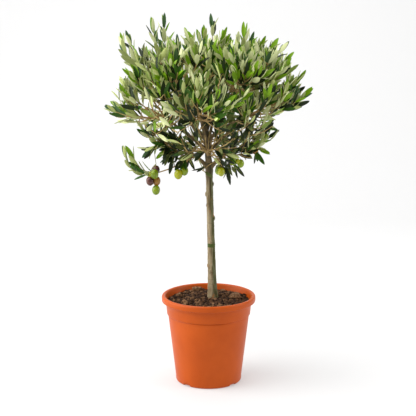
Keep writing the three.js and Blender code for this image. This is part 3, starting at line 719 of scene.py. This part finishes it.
def trunk_at(height):
    heights = TRUNK[:, 0]
    x, radius = np.interp(height, heights, TRUNK[:, 1]), np.interp(height, heights, TRUNK[:, 2])
    return np.array([x, TRUNK_BACK, height]), radius


class Mass:
    """A bough with the mass of foliage that it ends in."""

    def __init__(self, row, line, middle):
        self.tier, self.row, self.line, self.middle = row["tier"], row, line, middle


def plan_masses():
    masses = []
    for row in TIERS:
        for i in range(2 * row["pairs"]):
            pair = i // 2
            around = radians(row["turn"] + (i % 2) * 180 + pair * 180 / row["pairs"])
            out = np.array([cos(around), sin(around), 0])
            start = trunk_at(row["start"] + pair * row["rise"])[0]
            middle = HEART + out * row["ring"]
            middle[2] = row["height"]
            bend = start + out * row["ring"] * BOUGH_BEND
            bend[2] = (start[2] + middle[2]) / 2 + row["arch"]
            masses.append(Mass(row, Line(start, bend, middle), middle))
    start = trunk_at(TRUNK_TIP)[0]
    middle = np.array([HEART[0], HEART[1], TOP["height"]])
    masses.append(Mass(TOP, Line(start, (start + middle) / 2, middle), middle))
    return masses


masses = plan_masses()
middles = np.array([mass.middle for mass in masses])


def room_inside(spots, index):
    """How far each spot lies inside the space of one mass."""
    spots = np.atleast_2d(spots)
    square = ((spots[:, None] - middles[None]) ** 2).sum(2)
    apart = np.linalg.norm(middles - middles[index], axis=1)
    apart[index] = 1
    lead = (square - square[:, index:index + 1]) / (2 * apart)
    lead[:, index] = np.inf
    return lead.min(1)


def mass_at(spot):
    return int(((middles - spot) ** 2).sum(1).argmin())


for index, mass in enumerate(masses):
    share = 0.12
    while room_inside(mass.line.at(share), index)[0] < BOUGH_INSIDE and share < 0.9:
        share += 0.01
    mass.end = max(share, SHORTEST_BOUGH)
    mass.buds = []
    along = SHOOT_START
    while along < (0.99 - mass.end) * mass.line.length:
        mass.buds.append(mass.end + along / mass.line.length)
        along += SHOOT_PITCH


def bough_radius(mass, share):
    return mass.row["radius"] + (STEM_TIP_RADIUS - mass.row["radius"]) * np.power(share, 0.8)


def plan_links():
    """The limbs as short straight links: their ends and radii."""
    starts, ends, radii = [], [], []
    for low, high in zip(TRUNK[:-1], TRUNK[1:]):
        starts.append(trunk_at(low[0])[0])
        ends.append(trunk_at(high[0])[0])
        radii.append(max(low[2], high[2]))
    for mass in masses:
        spots = mass.line.spots(9, 0, mass.end)
        starts.extend(spots[:-1])
        ends.extend(spots[1:])
        radii.extend(bough_radius(mass, mass.end * k / 8) for k in range(8))
    return np.array(starts), np.array(ends), np.array(radii)


link_starts, link_ends, link_radii = plan_links()


def clear_of_limbs(spots, margin):
    way = link_ends - link_starts
    rel = spots[:, None] - link_starts[None]
    t = np.clip((rel * way).sum(2) / (way ** 2).sum(1), 0, 1)
    gap = np.linalg.norm(rel - t[..., None] * way, axis=2) - link_radii
    return (gap > margin).all()


def crown_radius(z):
    above = z > BELLY_HEIGHT
    power = DOME_POWER if above else UNDER_POWER
    share = abs(z - BELLY_HEIGHT) / (DOME_RISE if above else UNDER_DROP)
    return 0 if share >= 1 else BELLY_RADIUS * (1 - share ** power) ** (1 / power)


def in_crown(spot, share=1.0):
    x, y, z = HEART + (spot - HEART) / share
    return hypot(x - HEART[0], y - HEART[1]) < crown_radius(z)


def reach_of(direction):
    inside, outside = 0.0, 400.0
    for _ in range(16):
        reach = (inside + outside) / 2
        if in_crown(HEART + direction * reach):
            inside = reach
        else:
            outside = reach
    return inside


def in_hollow(spots):
    spots = np.atleast_2d(spots)
    level = spots[:, 2] + TUNNEL_FALL * spots[:, 1]
    off = np.hypot(spots[:, None, 0] - HOLLOWS[None, :, 0], level[:, None] - HOLLOWS[None, :, 1])
    return (off < HOLLOWS[None, :, 2]).any()


def shoot_reaches(count, share, lowest):
    reaches = []
    for i in range(count):
        z = 1 - (1 - cos(radians(lowest))) * (i + 0.5) / count
        flat = sqrt(1 - z * z)
        around = i * GOLDEN_ANGLE
        direction = np.array([flat * cos(around), flat * sin(around), z])
        ragged = 0.93 + 0.1 * ((i * GOLDEN_SHARE) % 1)
        reaches.append(HEART + direction * reach_of(direction) * share * ragged)
    return reaches


def twig_fits(line, index, margin):
    spots = line.spots(10)
    inside = room_inside(spots, index).min() > CELL_MARGIN + margin
    return inside and not in_hollow(spots) and clear_of_limbs(spots, margin + 1)


def inset(reach, start):
    """A shoot's tip, one leaf short of where its last leaf reaches."""
    return reach - unit(reach - start) * LEAF_LENGTH * LEAF_SHORT


def bent_line(start, reach, ease, own_bend=None):
    """A shoot that turns up, or down below the heart, with its last leaf straight on to its reach."""
    whole = np.linalg.norm(reach - start)
    length = whole - LEAF_LENGTH * LEAF_SHORT
    if length < SHORTEST_SHOOT:
        return None
    bend = own_bend
    if bend is None:
        bend = start + (reach - start) * SHOOT_BEND * length / whole
        bend[2] += (RISING_SAG if reach[2] > HEART[2] else FALLING_SAG) * ease * length
    return Line(start, bend, inset(reach, bend))


def shoot_line(index, reach, own_bend=None):
    """The line of a shoot from the best free bud of its mass."""
    mass = masses[index]

    def score(share):
        way = reach - mass.line.at(share)
        length = np.linalg.norm(way)
        angle = acos(float(np.clip(np.dot(way / length, mass.line.tangent(share)), -1, 1)))
        return abs(angle - radians(SHOOT_ANGLE)) + length / 400

    for share in sorted(mass.buds, key=score):
        for ease in SAG_EASES:
            line = bent_line(mass.line.at(share), reach, ease, own_bend)
            if line is not None and twig_fits(line, index, SHOOT_RADIUS):
                mass.buds.remove(share)
                return line
    return None


def across_of(tangent):
    across = np.cross(tangent, UP)
    return unit(across) if np.linalg.norm(across) > 0.05 else np.array([1.0, 0, 0])


class Twig:
    """A shoot or a side twig: its line, thickness, mass and the peak that it may reach to."""

    def __init__(self, line, start_radius, index, peak, spray, shoot):
        self.line, self.start_radius, self.index = line, start_radius, index
        self.peak, self.spray, self.shoot = peak, spray, shoot
        self.hanging = shoot and peak is not None and line.places[:, 2].min() < line.at(1)[2] - 20


def within_reach(spot, peak, shoot, spray):
    """Inside the crown, or no further out than the peak that the shoot grows to."""
    ragged = 0.95 + 0.09 * ((spray * GOLDEN_SHARE + 0.3) % 1)
    if in_crown(spot, 1.03 if shoot else SIDE_REACH * ragged):
        return True
    return peak is not None and np.linalg.norm(spot - HEART) < np.linalg.norm(peak - HEART) + 1


def lift_at(spot):
    """How far growth turns up: much in the upper crown, and down at the bottom."""
    return float(np.interp(spot[2], LIFT_HEIGHTS, LIFTS))


def grown_twig(start, way, length, parent):
    """A twig that turns up or down with its height, or None where it finds no room."""
    lift = max(lift_at(start), RISING_LIFT * parent.line.tangent(1)[2])
    for shrink in (1, 0.6):
        reach = length * shrink
        tip = start + way * reach + UP * lift * reach * 0.6
        line = Line(start, start + way * reach * 0.5, tip, 12)
        near = parent.peak is not None and parent.peak[2] < LOW_PEAK
        if near and np.linalg.norm(tip - HEART) > np.linalg.norm(parent.peak - HEART) - 22:
            continue
        if not near and not in_crown(tip + UP * 12, SIDE_REACH - 0.04):
            continue
        if twig_fits(line, parent.index, TWIG_RADIUS):
            return Twig(line, TWIG_RADIUS, parent.index, parent.peak if near else None, parent.spray, False)
    return None


def side_twigs(shoot, random):
    """Side twigs in opposite pairs, each pair a quarter turn from the last."""
    twigs = []
    line = shoot.line
    along = (HANGING_BARE if shoot.hanging else SIDE_FROM) * line.length + 6 * random()
    quarter = random() * pi
    while along < line.length * SIDE_TO:
        share = along / line.length
        tangent = line.tangent(share)
        for half in (0, pi):
            out = turned(across_of(tangent), tangent, quarter + half + 0.5 * (random() - 0.5))
            spread = radians(SIDE_SPREAD + 16 * (random() - 0.5))
            length = SIDE_LENGTH * (1.1 - 0.6 * share) * (0.7 + 0.6 * random())
            way = tangent * cos(spread) + out * sin(spread)
            way = unit(way + UP * max(lift_at(line.at(share)), 0) * 0.5)
            twig = grown_twig(line.at(share), way, length, shoot)
            if twig is not None:
                twigs.append(twig)
        quarter += pi / 2
        along += SIDE_PITCH * (0.85 + 0.3 * random())
    return twigs


def fill_twigs(twigs, random):
    """Twigs into the places in the crown that are still bare, each from wood close below."""
    grown = []
    bough_spots = [(spot, Twig(m.line, 0, i, None, 50 + i, True))
                   for i, m in enumerate(masses) for spot in m.line.spots(14, m.end, 1)]
    owners = bough_spots + [(spot, twig) for twig in twigs for spot in twig.line.spots(7, 0.15, 0.95)]
    spots = np.array([spot for spot, _ in owners])
    homes = np.array([owner.index for _, owner in owners])
    parents = [owner for _, owner in owners]
    steps = np.arange(-230, 231, FILL_SPACING)
    places = [np.array([x, y, z], float) for z in range(480, 800, FILL_SPACING) for x in steps for y in steps]
    for place in places:
        place = place + FILL_SPACING * 0.7 * np.array([random() - 0.5 for _ in range(3)])
        if not in_crown(place, FILL_CROWN) or in_hollow(place):
            continue
        index = mass_at(place)
        own = np.flatnonzero(homes == index)
        away = np.linalg.norm(spots[own] - place, axis=1)
        if away.min() < FILL_SPACING * 0.75:
            continue
        rise = np.maximum(spots[own, 2] - place[2] + 15, 0)
        for pick in own[np.argsort(away + 1.2 * rise)][:FILL_TRIES]:
            way = place - spots[pick]
            length = np.linalg.norm(way)
            bend = spots[pick] + way * 0.5 - UP * 0.14 * length * (1 if place[2] > 560 else -1)
            line = Line(spots[pick], bend, place, 12)
            if twig_fits(line, index, TWIG_RADIUS):
                parent = parents[pick]
                twig = Twig(line, TWIG_RADIUS, index, None, parent.spray, False)
                grown.append(twig)
                fresh = line.spots(5, 0.3, 1)
                spots = np.concatenate([spots, fresh])
                homes = np.concatenate([homes, np.full(5, index)])
                parents.extend([twig] * 5)
                break
    return grown


def plan_shoots():
    """Every shoot, with the spray number that its colours are dealt by."""
    planned = [(np.array(reach, float), np.array(bend, float), True) for reach, bend in LED]
    planned += [(np.array(reach, float), None, True) for reach in PEAKS]
    planned += [(reach, None, False) for shell in SHELLS for reach in shoot_reaches(**shell)]
    shoots = []
    for number, (reach, bend, peak) in enumerate(planned):
        index = mass_at(inset(reach, HEART if bend is None else bend))
        line = shoot_line(index, reach, bend)
        if line is not None:
            shoots.append(Twig(line, SHOOT_RADIUS, index, reach if peak else None, number, True))
    return shoots


# ---- leaves

# A leaf's sections: share of its length, and of half its width. Its foot and tip are single points.
LEAF_SHARES = np.array([0.07, 0.22, 0.46, 0.72, 0.9])
LEAF_HALVES = np.array([0.14, 0.7, 1.0, 0.86, 0.48])
SECTION = 4  # left edge, midrib above, right edge, midrib below
LEAF_PLACES = 2 + SECTION * len(LEAF_SHARES)


def leaf_faces():
    """Faces of one leaf, and whether each is on its upper side."""
    faces, upper = [], []
    count = len(LEAF_SHARES)
    for k in range(count - 1):
        a, b = 2 + k * SECTION, 2 + (k + 1) * SECTION
        for i, j in ring_pairs(SECTION):
            faces.append((a + i, b + i, b + j, a + j))
            upper.append(i < 2)
    a, b = 2, 2 + (count - 1) * SECTION
    for i, j in ring_pairs(SECTION):
        faces.append((0, a + i, a + j))
        faces.append((b + i, 1, b + j))
        upper.extend([i < 2, i < 2])
    return faces, upper


def leaf_places(root, way, face, length, width, curl, fold):
    """All leaves at once: arrays of roots, directions, upper faces and sizes."""
    side = unit(np.cross(way, face))
    face = unit(np.cross(side, way))
    count = len(root)
    places = np.zeros((count, LEAF_PLACES, 3))
    shares = np.concatenate([[0, 1], LEAF_SHARES])
    curl = np.where(np.abs(curl) < 1e-3, 1e-3, curl)[:, None]
    bend = curl * shares[None]
    forward = length[:, None] * np.sin(bend) / curl
    lift = length[:, None] * (1 - np.cos(bend)) / curl
    spine = root[:, None] + forward[..., None] * way[:, None] + lift[..., None] * face[:, None]
    normal = np.cos(bend)[..., None] * face[:, None] - np.sin(bend)[..., None] * way[:, None]
    places[:, 0], places[:, 1] = spine[:, 0], spine[:, 1]
    for k, half in enumerate(LEAF_HALVES):
        middle, up = spine[:, 2 + k], normal[:, 2 + k]
        reach = (width * half / 2)[:, None]
        rise = reach * np.sin(fold)[:, None] * up
        across = reach * np.cos(fold)[:, None] * side
        base = 2 + k * SECTION
        places[:, base] = middle - across + rise
        places[:, base + 1] = middle
        places[:, base + 2] = middle + across + rise
        places[:, base + 3] = middle - LEAF_THICKNESS * up
    return places


def plan_leaves(twigs, random):
    """Leaves in opposite pairs along each twig, with one at the tip."""
    leaves = []
    for twig in twigs:
        line = twig.line
        first = HANGING_BARE if twig.hanging else (0.3 if twig.shoot else 0.2)
        if line.at(1)[2] < BARE_BELOW:
            first = max(first, LOW_BARE)
        pair = 0
        quarter = random() * pi
        lift = max(lift_at(line.at(1)), RISING_LIFT * line.tangent(1)[2])
        while True:
            along = line.length - pair * LEAF_PITCH * (0.9 + 0.2 * random())
            share = along / line.length
            if share < first:
                break
            tangent = line.tangent(min(share, 0.99))
            start = line.at(min(share, 0.995))
            age = min(pair / 4, 1)
            for half in ((0, pi, None) if pair == 0 else (0, pi)):
                if half is None:
                    spread, out = radians(3), across_of(tangent)
                    size, turn_up = LEAF_LENGTH * LEAF_SHORT, 0
                else:
                    spread = radians(24 + 20 * age + 16 * (random() - 0.5))
                    out = turned(across_of(tangent), tangent, quarter + half + 0.5 * (random() - 0.5))
                    size = LEAF_LENGTH * (0.76 + 0.26 * age + 0.28 * (random() - 0.5))
                    turn_up = lift * (0.5 + 0.8 * random()) * (0.5 if twig.peak is not None else 1)
                way = tangent * cos(spread) + out * sin(spread)
                way = unit(way + UP * turn_up)
                leaf = grown_leaf(twig, start, way, tangent, size, age, half is None, random)
                bare = random() < BARE_SHARE * (start[2] < BARE_BELOW) and not twig.shoot
                if leaf is not None and not bare:
                    leaves.append(leaf)
            quarter += pi / 2
            pair += 1
    return leaves


def hides_leader(spots):
    """Whether leaves would cross the leader as it is seen from the front."""
    low, high = LEADER_SHOWS
    shown = (spots[:, 2] > low) & (spots[:, 2] < high) & (spots[:, 1] < TRUNK_BACK)
    lean = np.interp(spots[:, 2], TRUNK[:, 0], TRUNK[:, 1])
    return (shown & (np.abs(spots[:, 0] - lean) < LEADER_ROOM)).any()


# A leaf before its mesh; the last of a twig goes straight on from its tip
Leaf = namedtuple("Leaf", "root way face size spray age index last")


def grown_leaf(twig, start, way, tangent, size, age, last, random):
    """One leaf, or None where it finds no room."""
    face = tangent - way * np.dot(tangent, way)
    if last:
        back = random() < 0.5 and twig.peak is None
        face = np.cross(way, np.cross([0, 1.0 if back else -1.0, 0], way)) + 0.02 * tangent
    face = turned(unit(face), way, 1.0 * (random() - 0.5))
    for shrink in (1, 0.8):
        tip = start + way * size * shrink
        spots = start + np.outer([0.35, 0.7, 1.0], tip - start)
        if not within_reach(tip, twig.peak, twig.shoot, twig.spray):
            continue
        if in_hollow(spots[1:]) or hides_leader(spots):
            continue
        if room_inside(spots, twig.index).min() < LEAF_ROOM or not clear_of_limbs(spots, LIMB_MARGIN):
            continue
        return Leaf(start - way * 0.4, way, face, size * shrink, twig.spray, age, twig.index, last)
    return None


def make_leaves(leaves, random):
    faces, upper = leaf_faces()
    faces, upper = [np.array(f) for f in faces], np.array(upper)
    tops = [leaf_side(n, c, 0.45, 0.22) for n, c in UPPER_TONES.items()]
    unders = [leaf_side(n, c, 0.65, 0.15) for n, c in UNDER_TONES.items()]
    for tier, nodes in CROWN_PIECES:
        chosen = [leaf for leaf in leaves if masses[leaf.index].tier in nodes]
        root, way, face, size = (np.array([leaf[k] for leaf in chosen]) for k in range(4))
        draws = np.array([[random() for _ in range(3)] for _ in chosen])
        width = LEAF_WIDTH * (0.82 + 0.36 * draws[:, 0]) * np.clip(size / LEAF_LENGTH, 0.75, 1.1)
        curl = (-0.35 + 0.75 * draws[:, 1]) * np.array([TIP_CURL if leaf.last else 1 for leaf in chosen])
        fold = 0.1 + 0.4 * draws[:, 2]
        places = leaf_places(root, way, unit(face), size, width, curl, fold).reshape(-1, 3)
        all_faces, slots = [], []
        for n, leaf in enumerate(chosen):
            top, under = leaf_tones(leaf, random)
            base = n * LEAF_PLACES
            all_faces.extend(tuple((f + base).tolist()) for f in faces)
            slots.extend(np.where(upper, top, len(tops) + under).tolist())
        piece = mesh_piece("leaves_" + tier, places, all_faces, tops + unders, slots)
        sharpen_margins(piece.data)
        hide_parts(*[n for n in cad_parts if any(n.startswith("foliage_" + t) for t in nodes)])


def leaf_tones(leaf, random):
    """A leaf's upper and under colours: by spray and lighter at the tips, with darker tones low and inside
    the crown as painted shade, and fewer of them out at its edge as painted light.
    """
    x, y, z = leaf.root
    tone = (leaf.spray * GOLDEN_SHARE) % 1
    pick = random()
    # Painted shade and light: darker tones low down, higher up near the middle and on older leaves inside;
    # fewer of them further out, where light falls.
    out = hypot(x, 0.5 * y)
    core = 1 - smoothstep(out, 60, 120)
    shade = 1 - smoothstep(z + 30 * (tone - 0.5), 545 + 50 * core, 625 + 45 * core)
    shade *= 1 - smoothstep(out, 70, 130)
    inside = smoothstep(leaf.age, 0.3, 0.8) * smoothstep(z, 560, 590) * (1 - smoothstep(z, 660, 720))
    if random() < max(shade, (0.2 + 0.5 * core) * inside):
        under = UNDER_SHADED if pick < 0.5 else (UNDER_GREY if pick < 0.85 else UNDER_SAGE)
        return (TOP_DARK if pick < 0.75 else TOP_GREEN), under
    glow = smoothstep(z, 620, 740)
    if leaf.last and z > 700:
        return (TOP_YOUNG if tone < 0.55 else TOP_BLUE), UNDER_PALE
    if leaf.age < 0.3 and pick < 0.3 + 0.3 * glow:
        return (TOP_YOUNG if tone < 0.6 + 0.3 * glow else TOP_SAGE), UNDER_PALE
    if pick < 0.7:
        top = (TOP_GREEN, TOP_BLUE, TOP_DARK, TOP_GREEN, TOP_DARK)[int(tone * 5)]
    else:
        top = (TOP_DARK, TOP_GREEN, TOP_YOUNG, TOP_YOUNG)[int(pick * 97) % 4]
    if (tone > 0.5) == (pick < 0.75):
        return top, UNDER_PALE
    return top, UNDER_SAGE if pick > 0.25 else UNDER_GREY


def sharpen_margins(mesh):
    """Marks each leaf's edge as sharp, so that its two sides shade apart."""
    edges = np.zeros(len(mesh.edges) * 2, dtype=np.int32)
    mesh.edges.foreach_get("vertices", edges)
    part = (edges.reshape(-1, 2)) % LEAF_PLACES
    margin = (part < 2) | ((part - 2) % 2 == 0)
    sharp = margin.all(1)
    layer = mesh.attributes.new("sharp_edge", "BOOLEAN", "EDGE")
    layer.data.foreach_set("value", sharp)


# ---- wood

def make_trunk():
    """The trunk with its flare, scars and uneven bark, and the boughs that leave it."""
    random = seeded(77)
    sides, rings = TRUNK_SIDES, TRUNK_RINGS
    heights = TRUNK_FOOT + (TRUNK_TIP - TRUNK_FOOT) * np.linspace(0, 1, rings) ** 1.1
    angles = turns(sides)
    z, around = np.meshgrid(heights, angles, indexing="ij")
    radius = np.interp(z, TRUNK[:, 0], TRUNK[:, 2])
    bark = np.zeros_like(z)
    for _ in range(BARK_WAVES):
        k = 1 + int(random() * 7)
        length = 14 + 70 * random()
        bark += np.sin(k * around + z * TURN / length + TURN * random()) * (0.35 / (1 + 0.25 * k))
    radius = radius * (1 + BARK_RELIEF * bark)
    for height, turn, size, depth in SCARS:
        off = np.abs((around - radians(turn) + pi) % (2 * pi) - pi) * radius
        far = np.hypot(off, (z - height) * 0.8) / size
        radius += depth * (np.exp(-(far - 0.6) ** 2 * 4) - 0.35 * np.exp(-far ** 2 * 8))
    for height, size in RINGS:
        swell = 0.5 + 0.35 * np.cos(around - height)
        radius += size * swell * np.exp(-((z - height - 0.8 * np.sin(around + height)) / RING_WIDTH) ** 2)
    flare = np.exp(-(z - TRUNK_FOOT) / FLARE_FADES)
    radius += flare * (0.9 * np.cos(3 * around + 0.8) + 0.6 * np.cos(5 * around))
    x = np.interp(z, TRUNK[:, 0], TRUNK[:, 1]) + radius * np.cos(around)
    y = TRUNK_BACK + radius * np.sin(around)
    places = np.stack([x, y, z], 2).reshape(-1, 3)
    low, high = trunk_at(TRUNK_FOOT)[0], trunk_at(TRUNK_TIP)[0]
    places = np.concatenate([places, [low, high]])
    faces = wall_faces(rings, sides)
    top, end = (rings - 1) * sides, rings * sides
    for i, j in ring_pairs(sides):
        faces += [(end, j, i), (end + 1, top + i, top + j)]
    low_moss, high_moss = MOSS_BAND
    mossy = [len(face) == 4 and low_moss < heights[face[0] // sides] < high_moss for face in faces]
    moss = twig_skin("bark_moss", (54, 66, 24), (84, 96, 44))
    trunk = mesh_piece("trunk_bark", places, faces, [bark_skin(), moss], mossy)
    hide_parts("trunk")

    pile = Pile()
    for mass in masses:
        shares = np.linspace(0, mass.end + 0.02, 26)
        collar = 1 + COLLAR * np.exp(-shares * mass.line.length / FLARE_FADES)
        radii = bough_radius(mass, shares) * collar
        radii *= np.array([1 + 0.07 * (random() - 0.5) for _ in shares])
        pile.add(*tube(mass.line.spots(26, 0, mass.end + 0.02), radii, 14))
    boughs = pile.piece("bough_bark", [twig_skin("bough_skin", (84, 72, 50), (128, 110, 76))])
    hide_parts(*[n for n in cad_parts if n.startswith("bough_")])


def make_twigs(shoots, sides):
    shoot_bark = twig_skin("twig_old", (124, 98, 60), (168, 140, 92))
    twig_bark = twig_skin("twig_young", (150, 124, 74), (190, 164, 108))
    for tier, nodes in CROWN_PIECES:
        pile = Pile()
        for mass in masses:
            if mass.tier in nodes:
                radii = bough_radius(mass, np.linspace(mass.end, 1, 12))
                pile.add(*tube(mass.line.spots(12, mass.end, 1), radii, 8))
        for twig in shoots + sides:
            if masses[twig.index].tier not in nodes:
                continue
            count = 9 if twig.shoot else 5
            radii = np.linspace(twig.start_radius, TWIG_TIP_RADIUS, count)
            pile.add(*tube(twig.line.spots(count), radii, 6 if twig.shoot else 5), 0 if twig.shoot else 1)
        piece = pile.piece("twigs_" + tier, [shoot_bark, twig_bark])
        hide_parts(*[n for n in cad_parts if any(n.startswith("foliage_" + t) for t in nodes)])


# ---- olives

def add_olive(pile, middle, tilt, size, slot):
    """A plump oval fruit with a small point at its tip."""
    rows, sides = 14, 18
    shares = np.linspace(0, 1, rows + 1)[1:-1]
    z = np.cos(pi * shares)
    r = np.sin(pi * shares) ** 0.92
    angles = turns(sides)
    places = [[0, 0, 0.96], [0, 0, -1.06]]
    for height, radius in zip(z, r):
        places.extend([radius * cos(a), radius * sin(a), height] for a in angles)
    places = np.array(places) * np.array([OLIVE_WIDTH, OLIVE_WIDTH, OLIVE_LENGTH]) / 2 * size
    axis = unit(np.array([tilt[0], tilt[1], 1.0]))
    side = unit(np.cross(axis, [0, 1.0, 0]))
    places = places @ np.stack([side, np.cross(axis, side), axis]) + middle
    pile.add(places, ball_faces(rows - 1, sides), slot)


def make_olives(twigs):
    tones = list(OLIVE_TONES)
    skins = [olive_skin("olive_" + name, *OLIVE_TONES[name]) for name in tones]
    stalk_skin = twig_skin("olive_stalk", (120, 118, 60), (150, 146, 84))
    spots = np.concatenate([twig.line.spots(9) for twig in twigs])
    pile = Pile()
    random = seeded(9)
    for fruit in BUNCHES:
        tops = []
        for tone, middle, size in fruit:
            middle = np.array(middle, float)
            tilt = (0.3 * (random() - 0.5), 0.3 * (random() - 0.5))
            add_olive(pile, middle, tilt, size, tones.index(tone))
            tops.append(middle + UP * OLIVE_LENGTH * size * 0.45)
        neck = max(tops, key=lambda top: top[2]) + [0, 0, 4]
        above = spots[spots[:, 2] > neck[2] - STALK_LOWEST]
        near = above[np.linalg.norm(above - neck, axis=1).argmin()]
        line = Line(near, neck + (near - neck) * 0.3, neck, 8)
        pile.add(*tube(line.places, np.full(9, STALK_RADIUS), 5), len(tones))
        for top in tops:
            line = Line(neck, np.array([top[0], top[1], (neck[2] + top[2]) / 2]), top, 8)
            pile.add(*tube(line.places, np.full(9, FRUIT_STALK_RADIUS), 5), len(tones))
    olives = pile.piece("olives", skins + [stalk_skin])
    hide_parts(*[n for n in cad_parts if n.startswith("foliage_")])


# ---- light, floor and camera

def add_light(name, place, target, size, power):
    """A round soft light: places and size in metres, power in watts."""
    data = bpy.data.lights.new(name, "AREA")
    data.energy = power
    data.shape = "DISK"
    data.size = size
    light = placed(name, data)
    light.location = place
    light.rotation_euler = (Vector(target) - Vector(place)).to_track_quat("-Z", "Y").to_euler()


def make_stage():
    """A plain floor that curves up behind; it glows a little, so that shadows stay pale."""
    half, back, height, bend = 6.0, 3.0, 5.0, 1.2
    profile = [(-half, 0)] + [(y, 0) for y in np.linspace(-2, back - bend, 6)]
    for a in np.linspace(0.1, pi / 2, 10):
        profile.append((back - bend + bend * sin(a), bend - bend * cos(a)))
    profile += [(back, height)]
    places = [(x, y, z) for y, z in profile for x in (-half, half)]
    faces = [(2 * i, 2 * i + 1, 2 * i + 3, 2 * i + 2) for i in range(len(profile) - 1)]
    mesh = bpy.data.meshes.new("floor")
    mesh.from_pydata(places, [], faces)
    mesh.polygons.foreach_set("use_smooth", np.full(len(faces), True))
    material, _, surface = shader("floor_white", (183, 183, 183), 0.9, 0.1)
    put(surface, {"Emission Color": (1, 1, 1, 1), "Emission Strength": FLOOR_GLOW})
    mesh.materials.append(material)
    floor = placed("floor", mesh)


def make_light():
    world = bpy.data.worlds.new("studio")
    world.use_nodes = True
    put(world.node_tree.nodes["Background"], {"Color": (1.0, 0.995, 0.985, 1), "Strength": 0.5})
    bpy.context.scene.world = world
    add_light("key", (-1.7, -1.1, 2.6), (0, 0, 0.45), 3.2, 56)
    add_light("side", (-2.2, -0.1, 1.1), (0, 0, 0.25), 2.4, 50)
    add_light("fill", (2.4, -0.4, 1.2), (0, 0, 0.3), 1.4, 25)
    add_light("top", (-0.4, 0.4, 3.4), (0, 0.4, 0), 3.6, 62)
    add_light("backdrop", (0.7, 1.3, 3.2), (0.7, 3.0, 0.8), 2.4, 14)
    bpy.context.scene.view_settings.view_transform = "Standard"


def make_camera():
    data = bpy.data.cameras.new("camera")
    data.sensor_width = 36
    data.lens = 95.19
    camera = placed("camera", data)
    camera.location = (-0.0014, -2.386, 0.853)
    camera.rotation_euler = (radians(79.12), 0, 0)
    bpy.context.scene.camera = camera


# ---- the whole

make_pot()
make_soil()
make_trunk()
shoots = plan_shoots()
growth = seeded(3)
sides = [twig for shoot in shoots for twig in side_twigs(shoot, growth)]
sides += fill_twigs(shoots + sides, growth)
make_twigs(shoots, sides)
make_leaves(plan_leaves(shoots + sides, seeded(11)), seeded(12))
make_olives(shoots + sides)
make_stage()
make_light()
make_camera()
